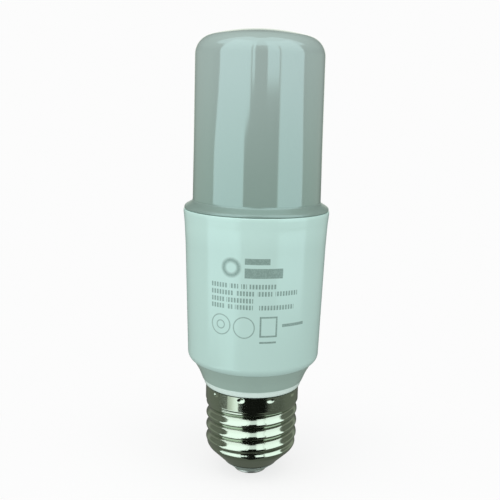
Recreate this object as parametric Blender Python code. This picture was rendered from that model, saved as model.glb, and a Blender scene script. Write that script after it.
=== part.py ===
"""LED capsule lamp: an opal tube on a tapered housing with an Edison screw cap, and its driver inside.

Sizes are in metres. The lamp's axis is Z and the origin is the centre of the contact's lower face.
Turned pieces are given as outlines of (radius, height) points.
"""
import math

import bmesh
import bpy
from mathutils import Vector

# Fits and facets
CLEARANCE = 0.0003              # gap between two pieces that touch or nest
ROUND_STEPS = 36                # facets round the lamp's axis
TIP_STEPS = 24                  # facets round the contact and the insulator
SMALL_STEPS = 16                # facets round a small part
SMOOTH_ANGLE = math.radians(35)

# Centre contact: a flat button with a pin that holds the live wire
CONTACT_RADIUS = 0.0047
CONTACT_THICKNESS = 0.0007
CONTACT_CHAMFER = 0.0003
CONTACT_PIN_RADIUS = 0.0009
CONTACT_PIN_RISE = 0.0009       # how far the pin stands above the insulator

# Insulator between the contact and the screw shell
INSULATOR_NOSE_RADIUS = 0.0056
INSULATOR_RADIUS = 0.0077
INSULATOR_EXPOSED = 0.0020      # height of the cone seen under the shell
INSULATOR_HEIGHT = 0.0056

# Screw shell: pressed sheet with a right-hand Edison thread
THREAD_PITCH = 0.00362
THREAD_CREST_RADIUS = 0.0131
THREAD_DEPTH = 0.0009
THREAD_FADE = 0.0016            # length over which the thread dies out at each end
THREAD_ROWS_PER_TURN = 5
THREAD_START_TURN = 0.27        # turns from the nose's end up to the crest at the front
SHELL_WALL = 0.0003
SHELL_HEIGHT = 0.0229
SHELL_MOUTH_RADIUS = 0.0080
SHELL_NOSE_RADIUS = 0.0046
SHELL_COLLAR_FLARE = 0.0002     # the collar stands out this far from the thread's crests
SHELL_COLLAR_HEIGHT = 0.0044

# Housing: one moulding with a neck, a lip over the shell and a spigot inside it
LIP_STEP = 0.0004               # from the shell's collar out to the lip
LIP_FLARE = 0.0005              # the lip is this much wider at its top
LIP_HEIGHT = 0.0018
LIP_ROUND = 0.0003
NECK_BASE_STEP = 0.0002         # from the lip's top out to the neck
NECK_MIDDLE_SHARE = 0.39        # share of the neck's widening reached at its middle
NECK_MIDDLE_RISE = 0.0027
NECK_STEP = 0.0002              # the neck stands back this far under the housing's foot
NECK_HEIGHT = 0.0057
FOOT_ROUND = 0.0026
FOOT_UNDERCUT = 0.00115         # from the foot in to the neck's top
HOUSING_TAPER = 0.00155         # from the rim in to the foot
HOUSING_BODY_HEIGHT = 0.0427    # from the neck's top edge to the rim
HOUSING_WALL = 0.0015
RIM_RADIUS = 0.0201
RIM_FLARE = 0.0003              # the rim stands out this far from the tapered wall
RIM_HEIGHT = 0.0030
RIM_ROUND = 0.0004
SPIGOT_LENGTH = 0.0170
SPIGOT_LAND_LENGTH = 0.0040     # thicker top of the spigot, inside the shell's collar
SPIGOT_WALL = 0.0015
GROOVE_DEPTH = 0.0006           # grooves in the spigot for the driver board's edges
GROOVE_END = 0.0030             # wall left under the grooves

# Diffuser: a blow-moulded opal tube with a flange over the housing's rim
DIFFUSER_STEP_IN = 0.00248      # from the housing's rim in to the foot of the tube
DIFFUSER_DRAFT = 0.00022        # the tube is this much narrower at its top
DIFFUSER_HEIGHT = 0.0476        # from the flange's underside to the crown
DIFFUSER_WALL = 0.0011
DIFFUSER_FILLET = 0.0022
SHOULDER_ROUND = 0.0045
CROWN_RADIUS = 0.060
FLANGE_STEP_IN = 0.0002         # from the housing's rim in to the flange
FLANGE_EDGE = 0.0004
FLANGE_WIDTH = 0.0017
FLANGE_RISE = 0.0013

# Heat sink: a pressed aluminium cup, mouth down, that lines the housing
PLATE_RECESS = 0.0049           # from the housing's rim down to the cup's plate
CUP_WALL = 0.0008
CUP_BEND = 0.0012
CUP_STAND_OFF = 0.0020          # from the housing's foot up to the cup's edge
WIRE_HOLE_RADIUS = 0.0032

# Light board and its chips
LED_BOARD_THICKNESS = 0.0010
LED_COUNT = 12
LED_RING_INSET = 0.0032         # from the board's edge in to the middle of a chip
LED_LENGTH = 0.0035
LED_WIDTH = 0.0028
LED_HEIGHT = 0.0007
LED_FRAME = 0.0003
LED_WELL = 0.00015
SCREW_COUNT = 2
SCREW_INSET = 0.0009            # from the light chips in to a screw's head
SCREW_HEAD_RADIUS = 0.0023
SCREW_HEAD_TOP_RADIUS = 0.0018
SCREW_HEAD_HEIGHT = 0.0014
SCREW_SHANK_RADIUS = 0.0012
SCREW_LENGTH = 0.0060
SCREW_RECESS_WIDTH = 0.0006
SCREW_RECESS_LENGTH = 0.0026
SCREW_RECESS_DEPTH = 0.0007

# Pins from the driver up to the light board, and their socket
PIN_WIDTH = 0.00064
PIN_SPACING = 0.00254
PIN_OVERLAP = 0.0040            # length of each pin beside the driver board
SOCKET_WALL = 0.0007
SOCKET_HEIGHT = 0.0032
SOCKET_FLOOR = 0.0006           # cover left over the pins' ends

# Driver board, upright on the lamp's axis
BOARD_THICKNESS = 0.0012
BOARD_TOP_GAP = 0.0048          # from the board's top edge up to the cup's plate

# Parts on the driver board: sizes, then heights above the board's shoulders
CAPACITOR_BEAD_DEPTH = 0.0004
CAPACITOR_BEAD_HEIGHT = 0.0018
CAPACITOR_ROUND = 0.0005
CAPACITOR_RISE = 0.0036
LEAD_WIDTH = 0.0006
LEAD_DROP = 0.0016
LEAD_SPACING = 0.0025
CHOKE_FLANGE_RADIUS = 0.0045
CHOKE_CORE_RADIUS = 0.0021
CHOKE_LENGTH = 0.0096
CHOKE_FLANGE = 0.0013
CHOKE_WINDING_INSET = 0.0005
CHOKE_RISE = 0.0238
FILM_CAPACITOR_SIZE = (0.0072, 0.0036, 0.0080)
FILM_CAPACITOR_ROUND = 0.0005
FILM_CAPACITOR_OFFSET = 0.0055
FILM_CAPACITOR_RISE = 0.0080
FUSE_RADIUS = 0.0013
FUSE_WAIST_RADIUS = 0.0011
FUSE_CAP = 0.0013
FUSE_LENGTH = 0.0064
FUSE_OFFSET = 0.0040
FUSE_LEAD = 0.0014
FUSE_DROP = 0.0070              # from the board's shoulders down to the fuse's middle

# Electrolytic capacitors: radius, length and offset sideways from the lamp's axis
CAPACITORS = {
    "input_capacitor": (0.0040, 0.0130, -0.0053),
    "output_capacitor": (0.00315, 0.0110, 0.0053),
}

# Leaded packages: name, size along X, Y and Z, leads a side, lead pitch, offset and rise
PACKAGES = {
    "rectifier": ((0.0038, 0.0014, 0.0047), 2, 0.00254, -0.0055, 0.0080),
    "controller_chip": ((0.0039, 0.0014, 0.0049), 4, 0.00127, 0.0040, 0.0190),
    "freewheel_diode": ((0.0026, 0.0012, 0.0042), 1, 0.00254, -0.0055, 0.0190),
}
LEAD_FRAME_THICKNESS = 0.0003
LEAD_FRAME_REACH = 0.0011
LEAD_FRAME_WIDTH = 0.0005
PACKAGE_BEVEL = 0.0002

# Chip resistors, in a row across the board
CHIP_RESISTOR_COUNT = 3
CHIP_RESISTOR_SIZE = (0.0020, 0.0006, 0.00125)
CHIP_RESISTOR_SPACING = 0.0040
CHIP_RESISTOR_DROP = 0.0030     # from the output pins' ends down to the row

# Wires inside the cap
LIVE_WIRE_RADIUS = 0.0006
NEUTRAL_WIRE_RADIUS = 0.00045
WIRE_POINTS = 10
LIVE_START_PULL = 0.25          # shares of the live wire's height
LIVE_END_PULL = 0.65
NEUTRAL_DROP = 0.0042           # from the spigot's end up to the wire's joint on the board
NEUTRAL_END_GAP = 0.00045       # the clearance, and a facet's hollow in the shell

# Heights up the lamp, each from the one below it
insulator_bottom = CONTACT_THICKNESS + CLEARANCE
insulator_cone_top = insulator_bottom + INSULATOR_EXPOSED
insulator_top = insulator_bottom + INSULATOR_HEIGHT
shell_bottom = insulator_cone_top + CLEARANCE
shell_top = shell_bottom + SHELL_HEIGHT
thread_top = shell_top - SHELL_COLLAR_HEIGHT
lip_bottom = shell_top + CLEARANCE
lip_top = lip_bottom + LIP_HEIGHT
neck_top = lip_top + NECK_HEIGHT
housing_top = neck_top + HOUSING_BODY_HEIGHT
rim_bottom = housing_top - RIM_HEIGHT
spigot_bottom = lip_bottom - SPIGOT_LENGTH
flange_bottom = housing_top + CLEARANCE
crown_top = flange_bottom + DIFFUSER_HEIGHT
plate_top = housing_top - PLATE_RECESS
plate_bottom = plate_top - CUP_WALL
led_board_bottom = plate_top + CLEARANCE
led_board_top = led_board_bottom + LED_BOARD_THICKNESS
led_bottom = led_board_top + CLEARANCE
socket_bottom = led_board_top + CLEARANCE
board_shoulder = lip_top + CLEARANCE
board_top = plate_bottom - BOARD_TOP_GAP
groove_bottom = spigot_bottom + GROOVE_END
board_bottom = groove_bottom + CLEARANCE

# Radii that follow from the rim and from fits
housing_top_radius = RIM_RADIUS - RIM_FLARE
flange_radius = RIM_RADIUS - FLANGE_STEP_IN
flange_inner_radius = flange_radius - FLANGE_WIDTH
diffuser_radius = RIM_RADIUS - DIFFUSER_STEP_IN
diffuser_top_radius = diffuser_radius - DIFFUSER_DRAFT
foot_radius = RIM_RADIUS - HOUSING_TAPER
neck_top_radius = foot_radius - FOOT_UNDERCUT
SLANT = math.sqrt(2.0)          # a 45 degree wall's width measured along the radius
shell_nose_centre = THREAD_CREST_RADIUS - SHELL_NOSE_RADIUS
shell_nose_top = shell_bottom + shell_nose_centre + SHELL_NOSE_RADIUS * SLANT - SHELL_MOUTH_RADIUS
spigot_radius = THREAD_CREST_RADIUS - THREAD_DEPTH - SHELL_WALL - CLEARANCE
spigot_bore = spigot_radius - SPIGOT_WALL
shell_collar_radius = THREAD_CREST_RADIUS + SHELL_COLLAR_FLARE
land_radius = THREAD_CREST_RADIUS - SHELL_WALL - CLEARANCE
lip_radius = shell_collar_radius + LIP_STEP
lip_top_radius = lip_radius + LIP_FLARE
neck_radius = lip_top_radius + NECK_BASE_STEP
neck_middle_radius = neck_radius + (neck_top_radius - NECK_STEP - neck_radius) * NECK_MIDDLE_SHARE
foot_drop = math.sqrt(FOOT_ROUND ** 2 - (FOOT_ROUND - FOOT_UNDERCUT) ** 2)
foot_top = neck_top + foot_drop
diffuser_bore = diffuser_top_radius - DIFFUSER_WALL
led_board_radius = diffuser_bore - CLEARANCE
led_ring_radius = led_board_radius - LED_RING_INSET
screw_ring_radius = led_ring_radius - LED_WIDTH / 2 - SCREW_INSET - SCREW_HEAD_RADIUS
tongue_half_width = spigot_bore + GROOVE_DEPTH - CLEARANCE
board_half_width = min(neck_radius, neck_top_radius) - HOUSING_WALL - CLEARANCE
board_face = BOARD_THICKNESS / 2
part_face = board_face + CLEARANCE
pin_y = part_face + PIN_WIDTH / 2


def housing_radius(height):
    """Outside radius of the housing's tapered wall at a height."""
    share = (height - foot_top) / (housing_top - foot_top)
    return foot_radius + (housing_top_radius - foot_radius) * share


def housing_bore(height):
    """Inside radius of the housing's tapered wall at a height."""
    return housing_radius(height) - HOUSING_WALL


def clear_scene():
    """Remove every object that is in the scene."""
    for item in list(bpy.data.objects):
        bpy.data.objects.remove(item)


def linear(level):
    """Linear value of an sRGB level from 0 to 255."""
    value = level / 255.0
    if value <= 0.04045:
        return value / 12.92
    return ((value + 0.055) / 1.055) ** 2.4


def make_material(name, colour, roughness, metallic=0.0):
    """Principled material; colour is an sRGB triple from 0 to 255."""
    material = bpy.data.materials.new(name)
    material.use_nodes = True
    shader = material.node_tree.nodes["Principled BSDF"]
    shader.inputs["Base Color"].default_value = (*(linear(level) for level in colour), 1.0)
    shader.inputs["Roughness"].default_value = roughness
    shader.inputs["Metallic"].default_value = metallic
    return material


def make_materials():
    """Every finish of the lamp, by name."""
    return {
        "opal": make_material("opal_diffuser", (172, 195, 185), 0.18),
        "housing": make_material("housing_plastic", (190, 220, 210), 0.32),
        "nickel": make_material("nickel_plate", (196, 200, 188), 0.16, 1.0),
        "insulator": make_material("insulator_plastic", (120, 138, 128), 0.45),
        "contact": make_material("contact_metal", (170, 176, 168), 0.34, 1.0),
        "aluminium": make_material("pressed_aluminium", (205, 208, 210), 0.38, 1.0),
        "white_board": make_material("white_solder_mask", (232, 236, 234), 0.42),
        "led": make_material("led_package", (236, 214, 130), 0.35),
        "steel": make_material("screw_steel", (176, 178, 180), 0.30, 1.0),
        "green_board": make_material("green_solder_mask", (34, 96, 58), 0.40),
        "black_plastic": make_material("black_plastic", (30, 31, 33), 0.48),
        "socket": make_material("socket_plastic", (226, 224, 214), 0.46),
        "tin": make_material("tinned_pin", (190, 192, 194), 0.28, 1.0),
        "black_sleeve": make_material("capacitor_sleeve", (40, 44, 60), 0.36),
        "ferrite": make_material("ferrite", (62, 60, 60), 0.62),
        "copper": make_material("enamelled_copper", (176, 92, 44), 0.30, 1.0),
        "film": make_material("film_capacitor_case", (214, 168, 60), 0.40),
        "fuse": make_material("fuse_coating", (196, 220, 226), 0.50),
        "ceramic": make_material("chip_resistor", (26, 27, 30), 0.40),
        "red_wire": make_material("live_insulation", (168, 40, 34), 0.45),
        "blue_wire": make_material("neutral_insulation", (48, 78, 150), 0.45),
    }


def finish(name, mesh, material, smooth=True):
    """Object from a mesh, linked to the scene."""
    if smooth:
        mesh.shade_smooth()
        mesh.set_sharp_from_angle(angle=SMOOTH_ANGLE)
    mesh.materials.append(material)
    item = bpy.data.objects.new(name, mesh)
    bpy.context.collection.objects.link(item)
    return item


def mesh_from(name, shape):
    """Mesh from a bmesh, with its faces turned outwards."""
    bmesh.ops.recalc_face_normals(shape, faces=shape.faces)
    mesh = bpy.data.meshes.new(name)
    shape.to_mesh(mesh)
    shape.free()
    return mesh


def arc(centre, radius, start, end, steps):
    """Points on an arc in the outline's plane; angles in degrees, 0 along the radius."""
    points = []
    for step in range(steps + 1):
        angle = math.radians(start + (end - start) * step / steps)
        points.append((centre[0] + radius * math.cos(angle), centre[1] + radius * math.sin(angle)))
    return points


def turned_shape(outline, steps=ROUND_STEPS):
    """Spin an outline about Z. It closes on itself, or ends on the axis at both ends."""
    shape = bmesh.new()
    verts = [shape.verts.new((radius, 0.0, height)) for radius, height in outline]
    edges = [shape.edges.new(pair) for pair in zip(verts, verts[1:])]
    if outline[0][0] > 0.0:
        edges.append(shape.edges.new((verts[-1], verts[0])))
    bmesh.ops.spin(shape, geom=verts + edges, cent=(0, 0, 0), axis=(0, 0, 1),
                   angle=math.tau, steps=steps, use_merge=True)
    bmesh.ops.remove_doubles(shape, verts=shape.verts, dist=1e-7)
    return shape


def turned(name, outline, material, steps=ROUND_STEPS):
    """Object turned about Z."""
    return finish(name, mesh_from(name, turned_shape(outline, steps)), material)


def add_prism(shape, outline, low, high, along):
    """Add an outline of (first, second) points carried from low to high along X, Y or Z."""
    order = {"X": (2, 0, 1), "Y": (0, 2, 1), "Z": (0, 1, 2)}[along]

    def place(point, depth):
        values = (point[0], point[1], depth)
        return tuple(values[index] for index in order)

    bottom = [shape.verts.new(place(point, low)) for point in outline]
    top = [shape.verts.new(place(point, high)) for point in outline]
    shape.faces.new(bottom)
    shape.faces.new(top)
    for index in range(len(outline)):
        after = (index + 1) % len(outline)
        shape.faces.new((bottom[index], bottom[after], top[after], top[index]))


def add_block(shape, centre, size):
    """Add a box by its centre and its three sizes."""
    x, y, z = (half / 2 for half in size)
    outline = [(centre[0] - x, centre[1] - y), (centre[0] + x, centre[1] - y),
               (centre[0] + x, centre[1] + y), (centre[0] - x, centre[1] + y)]
    add_prism(shape, outline, centre[2] - z, centre[2] + z, "Z")


def block(name, centre, size, material, bevel=0.0):
    """Box object with its middle at centre and, where asked, bevelled edges."""
    shape = bmesh.new()
    add_block(shape, (0, 0, 0), size)
    item = finish(name, mesh_from(name, shape), material, smooth=False)
    item.location = centre
    if bevel:
        modifier = item.modifiers.new("edge_bevel", "BEVEL")
        modifier.width = bevel
        modifier.segments = 1
    return item


def combine(item, shape, operation):
    """Cut a bmesh out of an object, or join it on; both are in the object's own space."""
    name = item.name + "_tool_" + str(len(item.modifiers))
    tool = bpy.data.objects.new(name, mesh_from(name, shape))
    bpy.context.collection.objects.link(tool)
    tool.parent = item
    tool.hide_render = True
    tool.display_type = "WIRE"
    modifier = item.modifiers.new(operation.lower(), "BOOLEAN")
    modifier.operation = operation
    modifier.object = tool
    return tool


def around(count, radius, height, first=0.0):
    """Places evenly spaced on a circle about the lamp's axis, each with its turn about Z."""
    places = []
    for index in range(count):
        turn = first + math.tau * index / count
        places.append((Vector((radius * math.cos(turn), radius * math.sin(turn), height)), turn))
    return places


def screw_holes(depth_low, depth_high):
    """Cutter for the light board's screws, from one height to another."""
    shape = bmesh.new()
    radius = SCREW_SHANK_RADIUS + CLEARANCE
    for centre, _ in around(SCREW_COUNT, screw_ring_radius, 0.0):
        outline = arc(centre, radius, 0.0, 360.0, SMALL_STEPS)[:-1]
        add_prism(shape, outline, depth_low, depth_high, "Z")
    return shape


def make_contact(finishes):
    """Flat contact button with its pin."""
    pin_top = insulator_top + CONTACT_PIN_RISE
    outline = [
        (0.0, 0.0),
        (CONTACT_RADIUS - CONTACT_CHAMFER, 0.0),
        (CONTACT_RADIUS, CONTACT_CHAMFER),
        (CONTACT_RADIUS, CONTACT_THICKNESS),
        (CONTACT_PIN_RADIUS, CONTACT_THICKNESS),
        (CONTACT_PIN_RADIUS, pin_top),
        (0.0, pin_top),
    ]
    turned("centre_contact", outline, finishes["contact"], TIP_STEPS)


def make_insulator(finishes):
    """Cone under the shell, with a waist in the shell's mouth and a flare inside it."""
    waist = SHELL_MOUTH_RADIUS - (SHELL_WALL + CLEARANCE) * SLANT
    flare_top = insulator_top - (insulator_top - shell_bottom) / 4
    bore = CONTACT_PIN_RADIUS + CLEARANCE
    outline = [
        (bore, insulator_bottom),
        (INSULATOR_NOSE_RADIUS, insulator_bottom),
        (INSULATOR_RADIUS, insulator_cone_top),
        (waist, insulator_cone_top),
        (waist, shell_bottom),
        (waist + flare_top - shell_bottom, flare_top),
        (waist + flare_top - shell_bottom, insulator_top),
        (bore, insulator_top),
    ]
    turned("insulator", outline, finishes["insulator"], TIP_STEPS)


def shell_side(inset):
    """One side of the shell's sheet from its mouth up, inset from the outer side."""
    nose_centre = (shell_nose_centre, shell_nose_top)
    points = [(SHELL_MOUTH_RADIUS - inset * SLANT, shell_bottom)]
    points += arc(nose_centre, SHELL_NOSE_RADIUS - inset, -45.0, 0.0, 4)
    rows = max(2, round((thread_top - shell_nose_top) / THREAD_PITCH * THREAD_ROWS_PER_TURN))
    for row in range(1, rows + 1):
        height = shell_nose_top + (thread_top - shell_nose_top) * row / rows
        points.append((THREAD_CREST_RADIUS - inset, height))
    points.append((shell_collar_radius - inset, thread_top + SHELL_WALL))
    points.append((shell_collar_radius - inset, shell_top))
    return points


def smooth_rise(value):
    """Rise from 0 to 1 with level ends."""
    value = min(max(value, 0.0), 1.0)
    return value * value * (3.0 - 2.0 * value)


def press_thread(shape):
    """Press the thread into both sides of the sheet: a right-hand wave that dies out at its ends."""
    front_crest = shell_nose_top + THREAD_START_TURN * THREAD_PITCH
    wave_start = shell_nose_top - THREAD_FADE
    for vert in shape.verts:
        radius = math.hypot(vert.co.x, vert.co.y)
        turn = (math.atan2(vert.co.y, vert.co.x) + math.pi / 2) / math.tau
        fade = smooth_rise((vert.co.z - wave_start) / THREAD_FADE)
        fade *= smooth_rise((thread_top - vert.co.z) / THREAD_FADE)
        wave = (1.0 - math.cos(math.tau * ((vert.co.z - front_crest) / THREAD_PITCH - turn))) / 2
        scale = 1.0 - THREAD_DEPTH * wave * fade / radius
        vert.co.x *= scale
        vert.co.y *= scale


def make_screw_shell(finishes):
    """Threaded shell of thin sheet, open at its mouth and at its collar."""
    shape = turned_shape(shell_side(0.0) + shell_side(SHELL_WALL)[::-1])
    press_thread(shape)
    bmesh.ops.triangulate(shape, faces=shape.faces)
    finish("screw_shell", mesh_from("screw_shell", shape), finishes["nickel"])


def housing_outline():
    """Outside from the spigot up to the rim, then inside back down."""
    foot_angle = math.degrees(math.asin(foot_drop / FOOT_ROUND))
    land_bottom = lip_bottom - SPIGOT_LAND_LENGTH
    outline = [
        (spigot_radius, spigot_bottom),
        (spigot_radius, land_bottom - (land_radius - spigot_radius)),
        (land_radius, land_bottom),
        (land_radius, lip_bottom),
        (lip_radius - LIP_ROUND, lip_bottom),
        (lip_radius, lip_bottom + LIP_ROUND),
        (lip_top_radius, lip_top),
        (neck_radius, lip_top),
        (neck_middle_radius, lip_top + NECK_MIDDLE_RISE),
        (neck_top_radius - NECK_STEP, neck_top),
    ]
    outline += arc((foot_radius - FOOT_ROUND, foot_top), FOOT_ROUND, -foot_angle, 0.0, 4)
    outline.append((housing_radius(rim_bottom), rim_bottom))
    outline.append((RIM_RADIUS, rim_bottom + (housing_top - rim_bottom) / 2))
    outline += arc((RIM_RADIUS - RIM_ROUND, housing_top - RIM_ROUND), RIM_ROUND, 0.0, 90.0, 2)
    outline += [
        (housing_bore(housing_top), housing_top),
        (housing_bore(foot_top), foot_top),
        (neck_top_radius - HOUSING_WALL, neck_top),
        (neck_radius - HOUSING_WALL, lip_top),
        (spigot_bore, lip_top),
        (spigot_bore, spigot_bottom),
    ]
    return outline


def make_housing(finishes):
    """Tapered housing with grooves in its spigot for the driver board."""
    item = turned("housing", housing_outline(), finishes["housing"])
    grooves = bmesh.new()
    width = 2 * (spigot_bore + GROOVE_DEPTH)
    height = lip_top + HOUSING_WALL - groove_bottom
    centre = (0, 0, groove_bottom + height / 2)
    add_block(grooves, centre, (width, BOARD_THICKNESS + 2 * CLEARANCE, height))
    combine(item, grooves, "DIFFERENCE")


def dome(radius, top, round_radius, crown_radius, steps):
    """Side-to-axis outline of a domed end: a shoulder arc that runs into a shallow crown arc."""
    reach = radius - round_radius
    crown_centre = top - crown_radius
    tilt = math.asin(reach / (crown_radius - round_radius))
    round_centre = (reach, crown_centre + (crown_radius - round_radius) * math.cos(tilt))
    crown_start = 90.0 - math.degrees(tilt)
    points = arc(round_centre, round_radius, 0.0, crown_start, steps)
    points += arc((0.0, crown_centre), crown_radius, crown_start, 90.0, steps)[1:]
    points[-1] = (0.0, top)
    return points


def make_diffuser(finishes):
    """Opal tube with a domed top, a flange on the rim and a spigot inside the housing."""
    spigot = housing_bore(led_board_bottom) - CLEARANCE
    flange_top = flange_bottom + FLANGE_EDGE
    cone_top = flange_top + FLANGE_RISE
    outside = dome(diffuser_top_radius, crown_top, SHOULDER_ROUND, CROWN_RADIUS, 5)[::-1]
    outside.append((diffuser_radius, cone_top + DIFFUSER_FILLET))
    outside += [
        (diffuser_radius + (flange_inner_radius - diffuser_radius) / 3, cone_top + DIFFUSER_FILLET / 3),
        (flange_inner_radius, cone_top),
        (flange_radius - CLEARANCE, flange_top + CLEARANCE),
        (flange_radius, flange_top),
        (flange_radius, flange_bottom),
        (spigot, flange_bottom),
        (spigot, led_board_bottom),
        (diffuser_bore, led_board_bottom),
    ]
    inside = dome(diffuser_bore, crown_top - DIFFUSER_WALL, SHOULDER_ROUND - DIFFUSER_WALL,
                  CROWN_RADIUS - DIFFUSER_WALL, 3)
    turned("diffuser", outside + inside, finishes["opal"])


def make_heat_sink(finishes):
    """Aluminium cup with its plate up and a hole for the driver's pins."""
    edge = foot_top + CUP_STAND_OFF

    def side(height):
        return housing_bore(height) - CLEARANCE

    bend_bottom = plate_top - CUP_BEND
    outline = [
        (side(edge), edge),
        (side(bend_bottom), bend_bottom),
        (side(bend_bottom) - CUP_BEND / 3, plate_top - CUP_BEND / 3),
        (side(bend_bottom) - CUP_BEND, plate_top),
        (WIRE_HOLE_RADIUS, plate_top),
        (WIRE_HOLE_RADIUS, plate_bottom),
        (side(bend_bottom) - CUP_BEND, plate_bottom),
        (side(bend_bottom) - CUP_WALL, bend_bottom),
        (side(edge) - CUP_WALL, edge),
    ]
    item = turned("heat_sink_cup", outline, finishes["aluminium"])
    combine(item, screw_holes(plate_bottom - CUP_WALL, plate_top + CUP_WALL), "DIFFERENCE")


def make_led_board(finishes):
    """Round light board with holes for the pins and the screws."""
    outline = [
        (WIRE_HOLE_RADIUS, led_board_bottom),
        (led_board_radius, led_board_bottom),
        (led_board_radius, led_board_top),
        (WIRE_HOLE_RADIUS, led_board_top),
    ]
    item = turned("led_board", outline, finishes["white_board"])
    holes = screw_holes(led_board_bottom - LED_BOARD_THICKNESS, led_board_top + LED_BOARD_THICKNESS)
    combine(item, holes, "DIFFERENCE")


def make_leds(finishes):
    """Ring of light chips, each a box with a shallow well in its top."""
    shape = bmesh.new()
    add_block(shape, (0, 0, LED_HEIGHT / 2), (LED_WIDTH, LED_LENGTH, LED_HEIGHT))
    top = max(shape.faces, key=lambda face: face.calc_center_median().z)
    bmesh.ops.inset_individual(shape, faces=[top], thickness=LED_FRAME)
    bmesh.ops.inset_individual(shape, faces=[top], thickness=LED_WELL, depth=-LED_WELL)
    mesh = mesh_from("led", shape)
    mesh.materials.append(finishes["led"])
    places = around(LED_COUNT, led_ring_radius, led_bottom, math.pi / LED_COUNT)
    for index, (place, turn) in enumerate(places):
        item = bpy.data.objects.new(f"led_{index + 1:02d}", mesh)
        bpy.context.collection.objects.link(item)
        item.location = place
        item.rotation_euler = (0, 0, turn)


def make_board_screws(finishes):
    """Pan-head screws with a cross recess that hold the light board on the cup."""
    outline = [
        (0.0, -SCREW_LENGTH),
        (SCREW_SHANK_RADIUS, SCREW_SHANK_RADIUS - SCREW_LENGTH),
        (SCREW_SHANK_RADIUS, 0.0),
        (SCREW_HEAD_RADIUS, 0.0),
        (SCREW_HEAD_RADIUS, SCREW_HEAD_HEIGHT / 2),
        (SCREW_HEAD_TOP_RADIUS, SCREW_HEAD_HEIGHT),
        (0.0, SCREW_HEAD_HEIGHT),
    ]
    places = around(SCREW_COUNT, screw_ring_radius, led_board_top + CLEARANCE)
    for index, (place, turn) in enumerate(places):
        item = turned(f"board_screw_{index + 1}", outline, finishes["steel"], SMALL_STEPS)
        item.location = place
        half_length = SCREW_RECESS_LENGTH / 2
        half_width = SCREW_RECESS_WIDTH / 2
        cross = []
        for cosine, sine in ((1, 0), (0, 1), (-1, 0), (0, -1)):
            for x, y in ((half_length, -half_width), (half_length, half_width), (half_width, half_width)):
                cross.append((cosine * x - sine * y, sine * x + cosine * y))
        recess = bmesh.new()
        recess_bottom = SCREW_HEAD_HEIGHT - SCREW_RECESS_DEPTH
        add_prism(recess, cross, recess_bottom, SCREW_HEAD_HEIGHT + SCREW_RECESS_DEPTH, "Z")
        combine(item, recess, "DIFFERENCE")


def make_pins_and_socket(finishes):
    """Two square pins up from the driver board and the socket that takes them."""
    pin_top = socket_bottom + SOCKET_HEIGHT - SOCKET_FLOOR - CLEARANCE
    pin_bottom = board_top - PIN_OVERLAP
    well = PIN_WIDTH + 2 * CLEARANCE
    size = (PIN_SPACING + well + 2 * SOCKET_WALL, well + 2 * SOCKET_WALL, SOCKET_HEIGHT)
    socket = block("pin_socket", (0, pin_y, socket_bottom + SOCKET_HEIGHT / 2), size, finishes["socket"])
    wells = bmesh.new()
    for index, side in enumerate((-1, 1)):
        offset = side * PIN_SPACING / 2
        size = (PIN_WIDTH, PIN_WIDTH, pin_top - pin_bottom)
        block(f"output_pin_{index + 1}", (offset, pin_y, (pin_top + pin_bottom) / 2), size, finishes["tin"])
        add_block(wells, (offset, 0, -SOCKET_FLOOR), (well, well, SOCKET_HEIGHT))
    combine(socket, wells, "DIFFERENCE")


def make_driver_board(finishes):
    """Upright board with shoulders on the housing's ledge and a tongue in the spigot's grooves."""
    outline = [
        (-tongue_half_width, board_bottom),
        (tongue_half_width, board_bottom),
        (tongue_half_width, board_shoulder),
        (board_half_width, board_shoulder),
        (board_half_width, board_top),
        (-board_half_width, board_top),
        (-board_half_width, board_shoulder),
        (-tongue_half_width, board_shoulder),
    ]
    shape = bmesh.new()
    add_prism(shape, outline, -board_face, board_face, "Y")
    finish("driver_board", mesh_from("driver_board", shape), finishes["green_board"], smooth=False)


def make_capacitor(name, radius, length, offset, finishes):
    """Upright electrolytic can beside the board, with two leads bent back to it."""
    bead = CAPACITOR_BEAD_HEIGHT
    outline = [
        (0.0, 0.0),
        (radius - CAPACITOR_ROUND, 0.0),
        (radius, CAPACITOR_ROUND),
        (radius, bead - CAPACITOR_BEAD_DEPTH),
        (radius - CAPACITOR_BEAD_DEPTH, bead),
        (radius, bead + CAPACITOR_BEAD_DEPTH),
        (radius, length - CAPACITOR_ROUND),
        (radius - CAPACITOR_ROUND, length),
        (0.0, length),
    ]
    item = turned(name, outline, finishes["black_sleeve"], SMALL_STEPS)
    item.location = (offset, -(part_face + radius), board_shoulder + CAPACITOR_RISE)
    half = LEAD_WIDTH / 2
    bend = [(-half, CAPACITOR_ROUND), (-half, -LEAD_DROP), (radius, -LEAD_DROP),
            (radius, LEAD_WIDTH - LEAD_DROP), (half, LEAD_WIDTH - LEAD_DROP), (half, CAPACITOR_ROUND)]
    leads = bmesh.new()
    for side in (-1, 1):
        middle = side * LEAD_SPACING / 2
        add_prism(leads, bend, middle - half, middle + half, "X")
    combine(item, leads, "UNION")


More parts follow.
